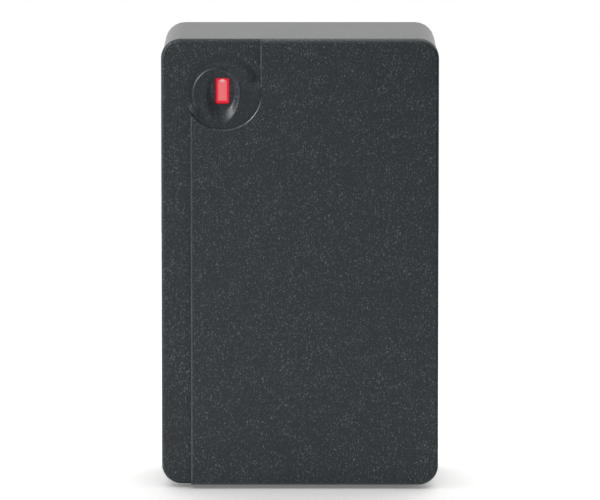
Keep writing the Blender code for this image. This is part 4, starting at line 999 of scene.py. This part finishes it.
# Zinc-plated steel: cool and bright with a faint blue-yellow passivation and fine turned rings.
zinc, tree, place = start_material("steel_zinc_plated")
film_tone = add_node(tree, "TexNoise", {"Vector": place, "Scale": 1 / 1.5, "Detail": 2})
tones = [(0.3, "#b7bcc4"), (0.5, "#c6c8c6"), (0.7, "#cbc7b4")]
tint = add_node(tree, "ValToRGB", {"Fac": film_tone}, tones)
marks = add_node(tree, "TexNoise", {"Vector": place, "Scale": 1 / 0.15, "Detail": 3})
gloss = add_node(tree, "MapRange", {"Value": marks, "To Min": 0.2, "To Max": 0.42})
relief = add_node(tree, "Bump", {"Height": marks, "Strength": 0.2, "Distance": 0.02 * MM})
end_material(tree, tint, gloss, relief, {"Metallic": 1.0})
for kind, head, count in (("clamp_screw", "slotted", WAYS), ("board_screw", "pan_head", BOARD_SCREWS)):
    for number in range(1, count + 1):
        node = f"{kind}_{number}"
        show_refined(f"{node}_{head}", node, 0.07 * MM, zinc, slot="plated_steel", smooth=30)

# ---- Tamper switch
# A small moulded body with a sprung nylon plunger that the closed cover holds in.
show_refined("tamper_case", "tamper_body", 0.15 * MM, epoxy, slot="chip_epoxy", smooth=30)
show_refined(
    "tamper_button", "tamper_plunger", 0.15 * MM, nylon, body="plunger", slot="natural_nylon", smooth=30
)
show_refined("tamper_coil", "tamper_spring", 0, zinc, slot="plated_steel", smooth=60)

# ---- Security screw
# A stainless socket-head screw with a fine thread, its brass insert in the cover's tab, and the
# spring-steel ring that keeps it captive.
SCREW_LOW, SCREW_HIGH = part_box("security_screw")
THREAD_PITCH, HEAD_TALL = 0.45, 1.6  # millimetres

# Turned stainless steel: bright, with fine rings, and a helical thread along the shank whose roots
# are painted darker, a painted shade.
stainless, tree, place = start_material("stainless_turned")
screw_middle = (SCREW_LOW + SCREW_HIGH) / 2
centring = {"Vector": place, "Location": (-screw_middle.x / MM, -screw_middle.y / MM, 0)}
centred = add_node(tree, "Mapping", centring)
axes = add_node(tree, "SeparateXYZ", {"Vector": centred})
angle = add_node(tree, "Math", {0: axes.outputs["Y"], 1: axes.outputs["X"]}, operation="ARCTAN2")
turn = add_node(tree, "Math", {0: angle, 1: 2 * math.pi}, operation="DIVIDE")
rise = add_node(tree, "Math", {0: axes.outputs["Z"], 1: THREAD_PITCH}, operation="DIVIDE")
helix = add_node(tree, "Math", {0: rise, 1: turn}, operation="SUBTRACT")
wave = add_node(tree, "Math", {0: helix, 1: 0.5}, operation="PINGPONG")
shank_start = SCREW_LOW.z / MM + HEAD_TALL
on_shank = add_node(tree, "Math", {0: axes.outputs["Z"], 1: shank_start}, operation="GREATER_THAN")
thread = add_node(tree, "Math", {0: wave, 1: on_shank}, operation="MULTIPLY")
tint = add_node(tree, "ValToRGB", {"Fac": thread}, [(0.0, "#a9abad"), (0.5, "#cbcccd")])
relief = add_node(tree, "Bump", {"Height": thread, "Strength": 1.0, "Distance": 0.25 * MM})
marks = add_node(tree, "TexNoise", {"Vector": place, "Scale": 1 / 0.2, "Detail": 3})
gloss = add_node(tree, "MapRange", {"Value": marks, "To Min": 0.18, "To Max": 0.36})
end_material(tree, tint, gloss, relief, {"Metallic": 1.0})
show_refined(
    "captive_screw", "security_screw", 0.1 * MM, stainless, body="screw", slot="plated_steel", smooth=30
)
show_refined(
    "captive_ring", "captive_clip", 0.08 * MM, zinc, body="clip", slot="plated_steel", smooth=30
)

# Turned brass: warm yellow, with the crossed ridges of its knurl, painted darker in their grooves
# as painted shade.
brass, tree, place = start_material("brass_knurled")
knurl = add_node(tree, "Mapping", {"Vector": place, "Rotation": (0, 0, math.radians(45))})
crossed = {"Vector": knurl, "Scale": 1 / 0.5, "Distortion": 0.2}
ridge = add_node(tree, "TexWave", crossed, bands_direction="DIAGONAL").outputs["Color"]
tint = add_node(tree, "ValToRGB", {"Fac": ridge}, [(0.2, "#a98136"), (0.8, "#d8b15c")])
relief = add_node(tree, "Bump", {"Height": ridge, "Strength": 0.6, "Distance": 0.1 * MM})
end_material(tree, tint, 0.3, relief, {"Metallic": 1.0})
show_refined(
    "threaded_insert", "thread_insert", 0.08 * MM, brass, body="cover", slot="insert_brass", smooth=30
)
